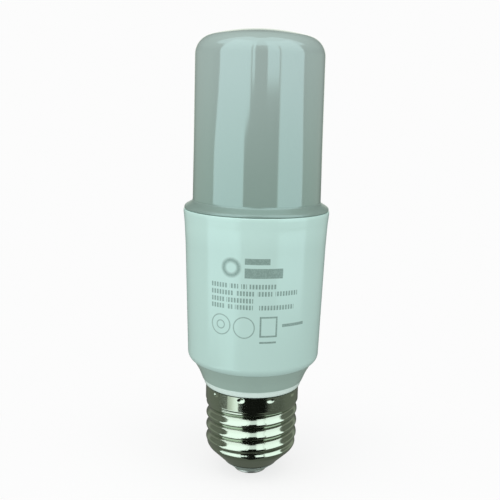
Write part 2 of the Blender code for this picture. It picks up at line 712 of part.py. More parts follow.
def make_choke(finishes):
    """Drum choke on its side: a ferrite spool and the winding between its flanges."""
    low = CHOKE_FLANGE
    high = CHOKE_LENGTH - CHOKE_FLANGE
    spool = [
        (0.0, 0.0),
        (CHOKE_FLANGE_RADIUS, 0.0),
        (CHOKE_FLANGE_RADIUS, low),
        (CHOKE_CORE_RADIUS, low),
        (CHOKE_CORE_RADIUS, high),
        (CHOKE_FLANGE_RADIUS, high),
        (CHOKE_FLANGE_RADIUS, CHOKE_LENGTH),
        (0.0, CHOKE_LENGTH),
    ]
    inner = CHOKE_CORE_RADIUS + CLEARANCE
    outer = CHOKE_FLANGE_RADIUS - CHOKE_WINDING_INSET
    winding = [
        (inner, low + CLEARANCE),
        (outer, low + CLEARANCE),
        (outer, high - CLEARANCE),
        (inner, high - CLEARANCE),
    ]
    place = (0.0, -part_face, board_shoulder + CHOKE_RISE)
    for name, outline, slot in (("choke_core", spool, "ferrite"), ("choke_winding", winding, "copper")):
        item = turned(name, outline, finishes[slot], SMALL_STEPS)
        item.location = place
        item.rotation_euler = (math.pi / 2, 0, 0)


def make_package(name, size, leads_a_side, pitch, offset, rise, finishes):
    """Moulded package on the board's back, with gull-wing leads on its two sides."""
    stand = LEAD_FRAME_THICKNESS
    body_centre = (offset, part_face + stand + size[1] / 2, board_shoulder + rise)
    item = block(name, body_centre, size, finishes["black_plastic"], PACKAGE_BEVEL)
    middle = LEAD_FRAME_THICKNESS / 2
    foot = -size[1] / 2 - stand
    frame = bmesh.new()
    for side in (-1, 1):
        inside = side * (size[0] / 2 - PACKAGE_BEVEL - stand)
        knee = side * (size[0] / 2 + LEAD_FRAME_REACH / 2)
        tip = side * (size[0] / 2 + LEAD_FRAME_REACH)
        width = side * LEAD_FRAME_THICKNESS
        bend = [(inside, middle), (knee, middle), (knee, foot + stand), (tip, foot + stand), (tip, foot),
                (knee - width, foot), (knee - width, -middle), (inside, -middle)]
        for lead in range(leads_a_side):
            height = (lead - (leads_a_side - 1) / 2) * pitch
            add_prism(frame, bend, height - LEAD_FRAME_WIDTH / 2, height + LEAD_FRAME_WIDTH / 2, "Z")
    combine(item, frame, "UNION")


def make_small_parts(finishes):
    """Film capacitor, chip resistors and fusible resistor."""
    width, depth, height = FILM_CAPACITOR_SIZE
    place = (FILM_CAPACITOR_OFFSET, part_face + depth / 2, board_shoulder + FILM_CAPACITOR_RISE)
    block("film_capacitor", place, (width, depth, height), finishes["film"], FILM_CAPACITOR_ROUND)
    for index in range(CHIP_RESISTOR_COUNT):
        offset = (index - (CHIP_RESISTOR_COUNT - 1) / 2) * CHIP_RESISTOR_SPACING
        place = (offset, part_face + CHIP_RESISTOR_SIZE[1] / 2, board_top - PIN_OVERLAP - CHIP_RESISTOR_DROP)
        block(f"chip_resistor_{index + 1}", place, CHIP_RESISTOR_SIZE, finishes["ceramic"])
    half = FUSE_LENGTH / 2
    lead = LEAD_WIDTH / 2
    upper = [
        (FUSE_WAIST_RADIUS, half - FUSE_CAP - lead),
        (FUSE_RADIUS, half - FUSE_CAP),
        (FUSE_RADIUS, half),
        (lead, half),
        (lead, half + FUSE_LEAD),
        (0.0, half + FUSE_LEAD),
    ]
    outline = [(radius, -height) for radius, height in upper[::-1]] + upper
    item = turned("fuse_resistor", outline, finishes["fuse"], SMALL_STEPS)
    item.location = (FUSE_OFFSET, -(part_face + FUSE_RADIUS), board_shoulder - FUSE_DROP)


def wire(name, ends, pulls, radius, material):
    """Round wire on one smooth curve; pulls are the vectors that it leaves its two ends with."""
    start, end = (Vector(point) for point in ends)
    first, second = (Vector(pull) for pull in pulls)
    curve = bpy.data.curves.new(name, "CURVE")
    curve.dimensions = "3D"
    curve.bevel_depth = radius
    curve.bevel_resolution = 2
    curve.use_fill_caps = True
    spline = curve.splines.new("POLY")
    spline.points.add(WIRE_POINTS - 1)
    for index, point in enumerate(spline.points):
        share = index / (WIRE_POINTS - 1)
        rest = 1.0 - share
        place = (start * rest ** 3 + 3 * (start + first) * rest ** 2 * share
                 + 3 * (end + second) * rest * share ** 2 + end * share ** 3)
        point.co = (*place, 1.0)
    curve.materials.append(material)
    item = bpy.data.objects.new(name, curve)
    bpy.context.collection.objects.link(item)


def make_wires(finishes):
    """Live wire from the contact's pin to the fuse, neutral wire from the shell to the board."""
    pin_top = insulator_top + CONTACT_PIN_RISE
    fuse_end = board_shoulder - FUSE_DROP - FUSE_LENGTH / 2 - FUSE_LEAD
    rise = fuse_end - pin_top
    live_ends = ((0, 0, pin_top + CLEARANCE), (FUSE_OFFSET, -(part_face + FUSE_RADIUS), fuse_end - CLEARANCE))
    live_pulls = ((0, 0, rise * LIVE_START_PULL), (0, 0, -rise * LIVE_END_PULL))
    wire("live_wire", live_ends, live_pulls, LIVE_WIRE_RADIUS, finishes["red_wire"])
    under = spigot_bottom - CLEARANCE - NEUTRAL_WIRE_RADIUS
    drop = shell_nose_top - (under - NEUTRAL_WIRE_RADIUS)
    reach = shell_nose_centre + math.sqrt((SHELL_NOSE_RADIUS - SHELL_WALL) ** 2 - drop ** 2)
    shell_end = (-(reach - NEUTRAL_END_GAP), 0, under)
    joint = (-spigot_bore / 2, part_face + NEUTRAL_WIRE_RADIUS, spigot_bottom + NEUTRAL_DROP)
    pull = joint[2] - under
    neutral_pulls = ((pull, 0, 0), (0, 0, -pull))
    wire("neutral_wire", (shell_end, joint), neutral_pulls, NEUTRAL_WIRE_RADIUS, finishes["blue_wire"])


def main():
    """Build the lamp from its tip upwards."""
    clear_scene()
    finishes = make_materials()
    make_contact(finishes)
    make_insulator(finishes)
    make_screw_shell(finishes)
    make_housing(finishes)
    make_diffuser(finishes)
    make_heat_sink(finishes)
    make_led_board(finishes)
    make_leds(finishes)
    make_board_screws(finishes)
    make_pins_and_socket(finishes)
    make_driver_board(finishes)
    for name, (radius, length, offset) in CAPACITORS.items():
        make_capacitor(name, radius, length, offset, finishes)
    make_choke(finishes)
    for name, (size, leads_a_side, pitch, offset, rise) in PACKAGES.items():
        make_package(name, size, leads_a_side, pitch, offset, rise, finishes)
    make_small_parts(finishes)
    make_wires(finishes)


main()
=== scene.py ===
"""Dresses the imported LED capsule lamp: smooth outer shells, finishes for every part, and a plain studio."""

import math

import bpy
import numpy as np
from bpy.props import FloatProperty, FloatVectorProperty, IntProperty, PointerProperty
from mathutils import Matrix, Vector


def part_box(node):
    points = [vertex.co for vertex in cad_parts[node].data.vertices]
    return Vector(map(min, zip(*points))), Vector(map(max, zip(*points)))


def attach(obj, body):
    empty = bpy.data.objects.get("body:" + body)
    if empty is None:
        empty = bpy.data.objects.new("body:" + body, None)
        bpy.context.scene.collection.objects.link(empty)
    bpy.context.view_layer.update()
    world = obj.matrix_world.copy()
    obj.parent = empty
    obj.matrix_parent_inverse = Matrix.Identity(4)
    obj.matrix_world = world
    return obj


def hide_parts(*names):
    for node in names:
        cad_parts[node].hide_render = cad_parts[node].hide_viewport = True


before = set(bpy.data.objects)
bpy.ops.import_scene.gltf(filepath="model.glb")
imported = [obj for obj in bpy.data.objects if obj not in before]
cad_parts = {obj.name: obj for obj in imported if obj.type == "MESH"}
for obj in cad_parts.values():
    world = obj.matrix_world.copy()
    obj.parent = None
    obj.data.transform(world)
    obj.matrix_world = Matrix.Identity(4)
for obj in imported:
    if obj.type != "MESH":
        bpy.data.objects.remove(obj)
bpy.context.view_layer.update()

bl_info = {
    "name": "LED capsule lamp",
    "version": (1, 0, 0),
    "blender": (4, 5, 0),
    "location": "3D View > Sidebar > Lamp",
    "description": "Builds the lamp's outer shells, its finishes and its studio",
    "category": "Object",
}

MM = 0.001
ROUND = 256                           # columns round the lamp's axis
SHARP_ANGLE = math.radians(32)
PANEL_TINT = (0.96, 1.0, 1.08)        # the light panels are a little cool
ROOM_TINT = (0.96, 1.0, 0.88)         # the room around them is a little warm
GLOSS_TINT = (0.68, 1.0, 0.94, 1.0)   # the plastics' own highlights are a little green
PACKAGES = ("rectifier", "controller_chip", "freewheel_diode")

low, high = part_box("screw_shell")
shell_bottom, shell_top = low.z, high.z
low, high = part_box("housing")
housing_bottom, housing_top = low.z, high.z
rim_radius = high.x
low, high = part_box("diffuser")
cover_bottom, crown_top = low.z, high.z
low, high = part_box("insulator")
insulator_bottom, insulator_top = low.z, high.z
low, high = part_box("centre_contact")
contact_top = high.z


def srgb(red, green, blue):
    """Linear colour of an sRGB triple from 0 to 255."""
    levels = np.array((red, green, blue)) / 255.0
    values = np.where(levels <= 0.04045, levels / 12.92, ((levels + 0.055) / 1.055) ** 2.4)
    return tuple(float(value) for value in values)


# Sizes and colours

def length(name, description, millimetres):
    """A size that a user may change."""
    return FloatProperty(name=name, description=description, default=millimetres * MM, min=0.0,
                         subtype="DISTANCE", unit="LENGTH", precision=5)


def colour(name, description, levels):
    """A colour that a user may change; levels are sRGB from 0 to 255."""
    return FloatVectorProperty(name=name, description=description, default=srgb(*levels), min=0.0, max=1.0,
                               subtype="COLOR", size=3)


def brightness(name, description, default):
    """A brightness that a user may change."""
    return FloatProperty(name=name, description=description, default=default, min=0.0)


def slant(name, description, degrees):
    """An angle that a user may change."""
    return FloatProperty(name=name, description=description, default=math.radians(degrees), subtype="ANGLE",
                         unit="ROTATION")


class LampCapSizes(bpy.types.PropertyGroup):
    """Sizes of the screw cap."""

    thread_pitch: length("Thread pitch", "Rise of the thread in one turn", 3.62)
    thread_depth: length("Thread depth", "Radius of the crests less that of the roots", 0.88)
    thread_round: length("Thread round", "Radius of the crests' and the roots' rounding", 0.92)
    crest_radius: length("Crest radius", "Radius over the thread's crests", 13.1)
    front_crest: length("Front crest", "Height of the lowest crest on the front", 10.86)
    sheet: length("Sheet", "Thickness of the pressed sheet", 0.3)
    nose_round: length("Nose round", "Radius of the bend between thread and nose", 4.6)
    mouth_radius: length("Mouth radius", "Radius of the shell's lower opening", 8.0)
    collar_radius: length("Collar radius", "Radius of the plain collar over the thread", 13.3)
    collar_height: length("Collar height", "Height of the plain collar", 4.4)
    punch_depth: length("Punch depth", "Depth of the punch marks that hold the shell", 0.22)
    punch_count: IntProperty(name="Punch marks", description="Number of punch marks round the collar",
                             default=10, min=0)


class LampBodySizes(bpy.types.PropertyGroup):
    """Sizes of the housing and the cover."""

    lip_radius: length("Lip radius", "Radius of the lip's lower edge", 13.7)
    lip_height: length("Lip height", "Height of the lip over the shell", 1.8)
    neck_radius: length("Neck radius", "Radius of the neck over the lip", 14.4)
    neck_top_radius: length("Neck top radius", "Radius of the housing's lower edge", 17.4)
    neck_height: length("Neck height", "Height of the neck", 5.7)
    foot_radius: length("Foot radius", "Radius over the housing's rounded foot", 18.55)
    foot_round: length("Foot round", "Radius of the foot's rounding", 2.6)
    rim_flare: length("Rim flare", "How far the rim stands out from the wall", 0.3)
    cover_radius: length("Cover radius", "Radius at the foot of the opal tube", 17.62)
    cover_top_radius: length("Cover top radius", "Radius at the top of the opal tube", 17.4)
    shoulder_round: length("Shoulder round", "Radius between the tube and the crown", 5.3)
    crown_round: length("Crown round", "Radius of the shallow crown", 52.0)


class LampColours(bpy.types.PropertyGroup):
    """Colours of the surfaces that show."""

    # Painted light and shade: the cover gets a lighter colour at its top and a darker one at its foot, as
    # light from above would make it
    opal: colour("Opal", "The cover's colour at its top", (165, 183, 178))
    opal_shaded_foot: colour("Opal, low", "The cover's colour at its foot", (143, 166, 157))
    housing: colour("Housing", "The housing's colour", (194, 226, 218))
    # Painted shade: the neck band gets a darker colour than the housing, for the shade on its downward slope
    neck: colour("Neck", "The colour of the neck band", (168, 194, 183))
    # Painted highlight: the lip gets a paler colour than the housing, for the light that its rounded face
    # catches
    lip: colour("Lip", "The colour of the lip", (234, 255, 247))
    ink: colour("Ink", "The colour of the housing's printed bars", (118, 142, 134))
    nickel: colour("Nickel", "The shell's colour", (178, 192, 172))
    insulator: colour("Insulator", "The colour of the cone under the shell", (130, 146, 136))
    contact: colour("Contact", "The contact's colour", (186, 196, 186))


class LampStudio(bpy.types.PropertyGroup):
    """Camera and light."""

    camera_distance: length("Camera distance", "From the lamp's axis to the camera", 210.0)
    camera_height: length("Camera height", "From the contact's face up to the camera", 104.6)
    camera_pitch: slant("Camera pitch", "How far the camera looks down", 10.688)
    camera_roll: slant("Camera roll", "How far the camera leans", 1.430)
    focal_length: FloatProperty(name="Focal length", description="In millimetres on a 36 mm sensor",
                                default=54.99, min=1.0)
    shift: FloatProperty(name="Shift", description="Sideways shift in frame widths", default=-0.0109)
    panel_level: brightness("Panel level", "Brightness of the room's light panels", 2.0)
    fill_level: brightness("Fill level", "Brightness of the soft light on matt surfaces", 0.69)
    room_level: brightness("Room level", "Brightness of the room round the lamp", 0.29)
    paper_level: brightness("Paper level", "Brightness of the background that shows", 0.973)
    floor_level: brightness("Floor level", "Brightness that the floor has of its own near the lamp", 0.732)


# Surfaces

def line(start, end, steps):
    """Straight run of an outline: start plus a share of the way to the end."""
    share = np.linspace(0.0, 1.0, steps + 1)[:, None]
    return np.array(start) + (np.array(end) - np.array(start)) * share


def arc(centre, radius, first, last, steps):
    """Round run of an outline: centre plus radius times cosine and sine; angles in degrees."""
    angle = np.radians(np.linspace(first, last, steps + 1))
    return np.column_stack((centre[0] + radius * np.cos(angle), centre[1] + radius * np.sin(angle)))


def curve(points, steps):
    """Smooth run of an outline through some points.

    Between each two it is a cubic, with slopes that come from the points' neighbours.
    """
    points = np.array(points, float)
    ends = np.vstack((2 * points[0] - points[1], points, 2 * points[-1] - points[-2]))
    slope = (ends[2:] - ends[:-2]) / 2
    share = np.linspace(0.0, 1.0, steps + 1)[None, :, None]
    start, end = points[:-1, None], points[1:, None]
    leave, arrive = slope[:-1, None], slope[1:, None]
    run = ((2 * share ** 3 - 3 * share ** 2 + 1) * start + (share ** 3 - 2 * share ** 2 + share) * leave
           + (3 * share ** 2 - 2 * share ** 3) * end + (share ** 3 - share ** 2) * arrive)
    return run.reshape(-1, 2)


def near(corner, *steps):
    """Points of an outline, each some millimetres out and up from a corner."""
    return np.array(corner) + np.array(steps) * MM


def outline(*runs):
    """Runs joined end to end, with a repeated point left out."""
    nearest = 1e-7
    points = np.concatenate(runs)
    apart = np.linalg.norm(np.diff(points, axis=0), axis=1) > nearest
    return points[np.concatenate(([True], apart))]


def ring_grid(radius, height, columns):
    """Rings round Z: each point is (radius cos a, radius sin a, height), for the angles a of all columns."""
    angle = np.arange(columns) * (math.tau / columns)
    return np.stack((radius * np.cos(angle), radius * np.sin(angle), height + 0 * angle), axis=-1)


def turned_grid(points, columns=ROUND):
    """Outline carried round Z; each of its points gives a ring."""
    return ring_grid(points[:, :1], points[:, 1:], columns)


def mesh_from_grid(name, grid, loop):
    """Closed mesh from a grid of points whose columns go round.

    With loop, the last row joins the first. Without it, both ends close in a point at the row's middle.
    Faces are turned round if the volume, a sum of a . (b x c) over the triangles, comes out negative.
    """
    rows, columns = grid.shape[:2]
    points = grid.reshape(-1, 3)
    index = np.arange(rows * columns).reshape(rows, columns)
    upper = np.roll(index, -1, axis=0)
    if not loop:
        index, upper = index[:-1], upper[:-1]
    beside = (np.roll(index, -1, axis=1), np.roll(upper, -1, axis=1))
    quads = np.stack((index, *beside, upper), axis=-1).reshape(-1, 4)
    corners = np.concatenate((quads[:, [0, 1, 2]], quads[:, [0, 2, 3]]))
    faces = quads.tolist()
    if not loop:
        first, last = np.arange(columns), np.arange(columns) + (rows - 1) * columns
        poles = np.stack((grid[0].mean(axis=0), grid[-1].mean(axis=0)))
        fans = np.concatenate((
            np.column_stack((np.full(columns, len(points)), np.roll(first, -1), first)),
            np.column_stack((np.full(columns, len(points) + 1), last, np.roll(last, -1))),
        ))
        points = np.vstack((points, poles))
        corners = np.concatenate((corners, fans))
        faces += fans.tolist()
    a, b, c = (points[corners[:, side]] for side in range(3))
    if np.einsum("ij,ij->", a, np.cross(b, c)) < 0:
        faces = [face[::-1] for face in faces]
    mesh = bpy.data.meshes.new(name)
    mesh.from_pydata(points.tolist(), [], faces)
    mesh.update()
    mesh.shade_smooth()
    mesh.set_sharp_from_angle(angle=SHARP_ANGLE)
    return mesh


def new_object(name, data):
    """Object in the scene's own collection."""
    item = bpy.data.objects.new(name, data)
    bpy.context.scene.collection.objects.link(item)
    return item


def place_piece(name, grid, material, slot, *nodes, loop=True):
    """Build a finished piece from its grid and put it into the scene in place of its CAD nodes."""
    mesh = mesh_from_grid(name, grid, loop)
    mesh.materials.append(material)
    piece = new_object(name, mesh)
    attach(piece, "root")
    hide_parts(*nodes)


# Shaders

class Wire:
    """A node's output that takes part in Python arithmetic; each sign adds a Math node."""

    def __init__(self, tree, socket):
        self.tree = tree
        self.socket = socket

    def __add__(self, other):
        return self.tree.math("ADD", self, other)

    def __sub__(self, other):
        return self.tree.math("SUBTRACT", self, other)

    def __rsub__(self, other):
        return self.tree.math("SUBTRACT", other, self)

    def __mul__(self, other):
        return self.tree.math("MULTIPLY", self, other)

    def __pow__(self, other):
        return self.tree.math("POWER", self, other)

    __radd__ = __add__
    __rmul__ = __mul__

    def size(self):
        """The value without its sign."""
        return self.tree.math("ABSOLUTE", self)

    def sine(self):
        """Sine of the value, which is in radians."""
        return self.tree.math("SINE", self)

    def rise(self, first, last):
        """0 below first and 1 above last, with a smooth step between."""
        return self.tree.add("ShaderNodeMapRange", {"interpolation_type": "SMOOTHSTEP"},
                             {"Value": self, "From Min": first, "From Max": last})

    def within(self, first, last, soft):
        """1 between two values and 0 outside them, with soft edges."""
        return self.rise(first - soft, first + soft) * (1 - self.rise(last - soft, last + soft))


class Tree:
    """A node tree whose nodes are added by value."""

    def __init__(self, tree):
        self.tree = tree

    def feed(self, socket, value):
        """Give a socket a value or a link."""
        if isinstance(value, Wire):
            self.tree.links.new(value.socket, socket)
        else:
            socket.default_value = value

    def add(self, kind, settings=None, sockets=None, output=0):
        """Add a node of a type, with its settings first and then its sockets' values or links."""
        node = self.tree.nodes.new(kind)
        for name, value in (settings or {}).items():
            setattr(node, name, value)
        for name, value in (sockets or {}).items():
            self.feed(node.inputs[name], value)
        return Wire(self, node.outputs[output])

    def math(self, operation, *values):
        """Math node on numbers and wires."""
        return self.add("ShaderNodeMath", {"operation": operation}, dict(enumerate(values)))

    def most(self, first, *others):
        """The largest of some values."""
        for other in others:
            first = self.math("MAXIMUM", first, other)
        return first

    def distance(self, across, along):
        """Square root of the sum of two squares."""
        return (across * across + along * along) ** 0.5

    def bearing(self, x, y):
        """Angle round Z from the front, in radians; positive to the right."""
        return self.math("ARCTAN2", x, 0 - y)

    def mix(self, share, first, second, kind="MIX"):
        """Colour between two colours, or another blend of them."""
        pair = [value if isinstance(value, Wire) else (*value, 1.0) for value in (first, second)]
        settings = {"data_type": "RGBA", "blend_type": kind}
        return self.add("ShaderNodeMix", settings, {0: share, 6: pair[0], 7: pair[1]}, 2)

    def tint(self, base, level):
        """Colour times a grey level."""
        grey = self.add("ShaderNodeCombineColor", None, {0: level, 1: level, 2: level})
        return self.mix(1.0, base, grey, "MULTIPLY")

    def vector(self, x, y, z):
        """Vector of three values."""
        return self.add("ShaderNodeCombineXYZ", None, {0: x, 1: y, 2: z})

    def split(self, vector):
        """The three values of a vector."""
        node = self.add("ShaderNodeSeparateXYZ", None, {0: vector}).socket.node
        return [Wire(self, socket) for socket in node.outputs]


class Finish(Tree):
    """A Principled material on Object coordinates; x, y and z are the place in millimetres."""

    def __init__(self, name, **constants):
        self.material = bpy.data.materials.new(name)
        self.material.use_nodes = True
        super().__init__(self.material.node_tree)
        self.shader = self.tree.nodes["Principled BSDF"]
        for socket, value in constants.items():
            self.shader.inputs[socket.replace("_", " ").title().replace("Ior", "IOR")].default_value = value
        self.place = self.add("ShaderNodeTexCoord", output=3)
        in_mm = {"Vector": self.place, "Scale": 1 / MM}
        self.x, self.y, self.z = self.split(self.add("ShaderNodeVectorMath", {"operation": "SCALE"}, in_mm))

    def radius(self, x=0.0, y=0.0):
        """Distance in millimetres from an upright line."""
        return self.distance(self.x - x, self.y - y)

    def turn(self):
        """Bearing of the place."""
        return self.bearing(self.x, self.y)

    def noise(self, scale, detail=3.0, rough=0.5, place=None):
        """Noise from 0 to 1 at the place, or at another one."""
        return self.add("ShaderNodeTexNoise", None,
                        {"Vector": place or self.place, "Scale": scale, "Detail": detail, "Roughness": rough})

    def surface(self, base, roughness, relief, depth_mm, strength, metallic=None):
        """Feed the shader with what varies; the relief goes from 0 to 1 and stands for a depth."""
        raised = {"Height": relief, "Strength": strength, "Distance": depth_mm * MM}
        normal = self.add("ShaderNodeBump", None, raised)
        for name, value in (("Base Color", base), ("Roughness", roughness), ("Normal", normal),
                            ("Metallic", metallic)):
            if value is not None:
                self.feed(self.shader.inputs[name], value)
        return self.material

    def grained(self, base, scale, shade, roughness, depth_mm, strength, metallic=None):
        """Surface with a grain that stands out; shade and roughness are the least and what the grain adds."""
        grain = self.noise(scale)
        base = self.tint(base, shade[0] + shade[1] * grain)
        rough = roughness[0] + roughness[1] * grain
        return self.surface(base, rough, grain, depth_mm, strength, metallic)


def printed_shapes(finish):
    """Mask of the housing's plain print: bars, rings, a square outline and rows of small blocks.

    s is the distance round the housing from its front and z is the height, both in millimetres.
    """
    print_radius = 19.2
    soft, thin = 0.06, 0.26
    first, pitch, space = -11.9, 0.81, 0.16
    block_middle, half_row = 0.29, 0.62
    s, z = finish.turn() * print_radius, finish.z
    # Left, right, bottom and top of each bar
    bars = ((-2.6, 7.4, 61.1, 63.7), (-2.6, 3.9, 64.7, 66.3), (1.6, 6.2, 43.6, 44.1), (7.8, 14.6, 47.9, 48.7))
    # Centre, height, radius and half the thickness of each ring
    rings = ((-6.2, 63.7, 2.0, 1.0), (-9.1, 48.2, 2.7, thin), (-9.1, 48.2, 1.1, thin),
             (-2.6, 47.8, 2.8, thin))
    # Height of each row, then where each of its groups starts and how many blocks it has
    rows = (
        (58.9, ((-11.9, 6), (-6.5, 3), (-3.4, 2), (-1.2, 9))),
        (57.0, ((-11.9, 8), (-4.8, 6), (0.8, 5), (5.6, 8))),
        (55.1, ((-11.9, 5), (-7.4, 9))),
        (53.3, ((-11.9, 5), (-7.2, 2), (-5.0, 6), (1.4, 12))),
    )

    def bar(left, right, bottom, top):
        return s.within(left, right, soft) * z.within(bottom, top, soft)

    def ring(centre, height, radius, width):
        return (finish.distance(s - centre, z - height) - radius).size().rise(width, 0.0)

    def row(height, groups):
        spans = (s.within(start - soft, start + count * pitch - space, soft) for start, count in groups)
        return finish.most(*spans) * z.within(height - half_row, height + half_row, soft)

    square = bar(1.6, 6.4, 45.3, 50.9) * (1 - bar(2.05, 5.95, 45.75, 50.45))
    block = finish.math("PINGPONG", s - first - block_middle, pitch / 2).rise(0.28, 0.22)
    blocks = finish.most(*(row(*sizes) for sizes in rows)) * block
    return finish.most(square, blocks, *(bar(*sizes) for sizes in bars), *(ring(*sizes) for sizes in rings))


def opal_finish(colours):
    """Opal plastic: painted shade makes it a little darker towards its foot and on its flange; faintly
    cloudy, with a few specks of dust.
    """
    finish = Finish("opal_plastic", ior=1.58, specular_ior_level=1.0, specular_tint=GLOSS_TINT)
    # Painted shade: the mix from the foot's colour to the top's makes the cover darker towards its foot
    height = finish.z.rise(78.0, 122.0)
    # Painted shade: the flange's sloping ledge is darkened by 0.15 in the tint below; it is also made rougher
    flange = finish.z.rise(79.5, 78.9)
    cloud = finish.noise(60.0, 2.0)
    grain = finish.noise(900.0, 2.0)
    speck = finish.add("ShaderNodeTexVoronoi", {"feature": "F1"}, {"Vector": finish.place, "Scale": 62.0})
    dust = speck.rise(0.035, 0.015)
    base = finish.mix(height, colours.opal_shaded_foot, colours.opal)
    base = finish.tint(base, 0.97 + 0.04 * cloud + 0.02 * grain - 0.15 * flange)
    base = finish.mix(dust * 0.35, base, srgb(206, 222, 216))
    rough = 0.06 + 0.04 * cloud + 0.25 * dust + 0.22 * flange
    return finish.surface(base, rough, cloud * 0.7 + grain * 0.05, 0.02, 0.35)


def housing_finish(colours, body):
    """Satin plastic with plain print; painted shade darkens the neck band and the land under the lip, a
    painted highlight makes the lip pale, and painted light makes it lighter towards its rim.
    """
    finish = Finish("housing_plastic_finish", specular_tint=GLOSS_TINT)
    lip_bottom, lip_top, neck_top = (height / MM for height in housing_levels(body))
    cloud = finish.noise(45.0, 2.0)
    grain = finish.noise(1500.0)
    z = finish.z
    # Painted shade: the neck band below neck_top takes the darker neck colour
    base = finish.mix(z.rise(neck_top - 0.05, neck_top + 0.05), colours.neck, colours.housing)
    # Painted highlight: the lip takes the pale lip colour
    base = finish.mix(z.rise(lip_top + 0.10, lip_top), base, colours.lip)
    # Painted light: the housing is made lighter towards its top and lighter again near the rim; cloud and
    # grain add random tone
    height = 0.03 * z.rise(36.0, 60.0) + 0.07 * z.rise(67.0, 74.0)
    base = finish.tint(base, 0.935 + 0.03 * cloud + 0.02 * grain + height)
    ink = printed_shapes(finish) * (0.82 + 0.18 * finish.noise(2600.0, 2.0).rise(0.35, 0.6))
    base = finish.mix(ink * 0.85, base, colours.ink)
    # Painted shadow: under the lip the land is dark grey, for the shadow in the gap between lip and shell
    base = finish.mix(z.rise(lip_bottom, lip_bottom - 0.08), base, srgb(52, 60, 56))
    rough = 0.10 + 0.06 * cloud + 0.04 * grain + 0.12 * ink
    return finish.surface(base, rough, grain * 0.5 + cloud * 0.4, 0.012, 0.3)


def nickel_finish(colours):
    """Bright nickel: fine turning lines, soft dents from pressing, a dull film in the thread, and a mouth
    darkened by painted shadow.
    """
    finish = Finish("nickel_plate_finish", metallic=1.0)
    turn, radius, z = finish.turn(), finish.radius(), finish.z
    lines = finish.noise(1.0, 4.0, 0.6, finish.vector(turn * 0.4, radius * 9.0, z * 9.0))
    film = finish.noise(260.0, 4.0, 0.6)
    wave = finish.noise(130.0, 1.0)
    root = radius.rise(12.75, 12.2) * z.rise(8.5, 10.0)
    base = finish.tint(colours.nickel, 0.90 + 0.14 * film)
    base = finish.mix(root * film * 0.35, base, srgb(120, 120, 100))
    # Painted shadow: the shell's lowest edge is coloured near black, for the shadow in the gap over the
    # insulator
    base = finish.mix(z.rise(3.62, 3.42), base, srgb(40, 42, 36))
    rough = 0.05 + 0.05 * film + 0.05 * lines + 0.06 * root
    return finish.surface(base, rough, wave * 0.9 + lines * 0.06, 0.05, 0.5)


def insulator_finish(colours):
    """Moulded insulator: matte, with a fine grain and faint rings from the mould."""
    finish = Finish("insulator_finish")
    grain = finish.noise(1800.0)
    cloud = finish.noise(300.0, 2.0)
    rings = (finish.radius() * 9.0).sine() * 0.5 + 0.5
    base = finish.tint(colours.insulator, 0.94 + 0.06 * cloud + 0.04 * grain)
    return finish.surface(base, 0.38 + 0.15 * grain, grain * 0.5 + rings * 0.1, 0.02, 0.4)


def contact_finish(colours):
    """Dull plated button with fine rings and small scratches."""
    finish = Finish("contact_finish", metallic=1.0)
    rings = finish.noise(1.0, place=finish.vector(finish.radius() * 6.0, 0.0, 0.0))
    scratch = finish.noise(1.0, 4.0, place=finish.vector(finish.x * 0.6, finish.y * 9.0, finish.z))
    base = finish.tint(colours.contact, 0.84 + 0.2 * rings)
    return finish.surface(base, 0.30 + 0.18 * scratch, rings * 0.5 + scratch * 0.4, 0.015, 0.5)


def dress(material, *nodes):
    """Give CAD nodes their finish."""
    for node in nodes:
        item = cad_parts[node]
        if not item.material_slots:
            raise RuntimeError(f"{node} has no material slot")
        for slot in item.material_slots:
            slot.material = material


def box_mm(node):
    """Two corners and the centre of a CAD node's box, in millimetres."""
    corner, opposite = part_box(node)
    return corner / MM, opposite / MM, (corner + opposite) / 2 / MM


def sheet_metal_finish(name, levels, rough, streak):
    """Drawn or turned metal: fine rings round the lamp's axis and a soft film."""
    finish = Finish(name, metallic=1.0)
    film = finish.noise(220.0)
    place = finish.vector(finish.turn() * 2.0, finish.radius() * streak, finish.z * streak)
    grain = finish.noise(1.0, 4.0, place=place)
    base = finish.tint(srgb(*levels), 0.86 + 0.12 * film + 0.06 * grain)
    return finish.surface(base, rough + 0.12 * grain, grain, 0.01, 0.4)


def moulded_finish(name, levels, rough):
    """Moulded plastic or ferrite with a fine grain and faint clouds."""
    finish = Finish(name)
    grain = finish.noise(3000.0)
    cloud = finish.noise(400.0, 2.0)
    base = finish.tint(srgb(*levels), 0.9 + 0.1 * cloud + 0.08 * grain)
    return finish.surface(base, rough + 0.15 * grain, grain, 0.01, 0.5)


def light_board_finish():
    """White coating over wide copper fields that run round the board, with a few bare pads."""
    finish = Finish("white_mask_finish")
    radius, turn = finish.radius(), finish.turn()
    field = (turn * 12.0).sine().rise(-0.9, -0.8) * radius.within(9.6, 14.8, 0.1)
    pad = radius.within(3.9, 4.6, 0.05) * (turn * 2.0).sine().rise(0.93, 0.96)
    grain = finish.noise(2500.0)
    base = finish.mix(field * 0.3, srgb(222, 228, 224), srgb(244, 247, 244))
    base = finish.mix(pad, base, srgb(200, 202, 200))
    base = finish.tint(base, 0.96 + 0.05 * grain)
    return finish.surface(base, 0.42 + 0.1 * grain - 0.15 * pad, field + 0.1 * grain, 0.03, 0.5)


def light_chip_finish():
    """White frame with yellow phosphor in its well."""
    top = box_mm("led_01")[1].z
    finish = Finish("led_finish")
    well = finish.z.within(top - 0.22, top - 0.08, 0.02)
    base = finish.mix(well, srgb(232, 232, 226), srgb(238, 206, 88))
    return finish.grained(base, 5000.0, (0.9, 0.14), (0.3, 0.2), 0.01, 0.4)


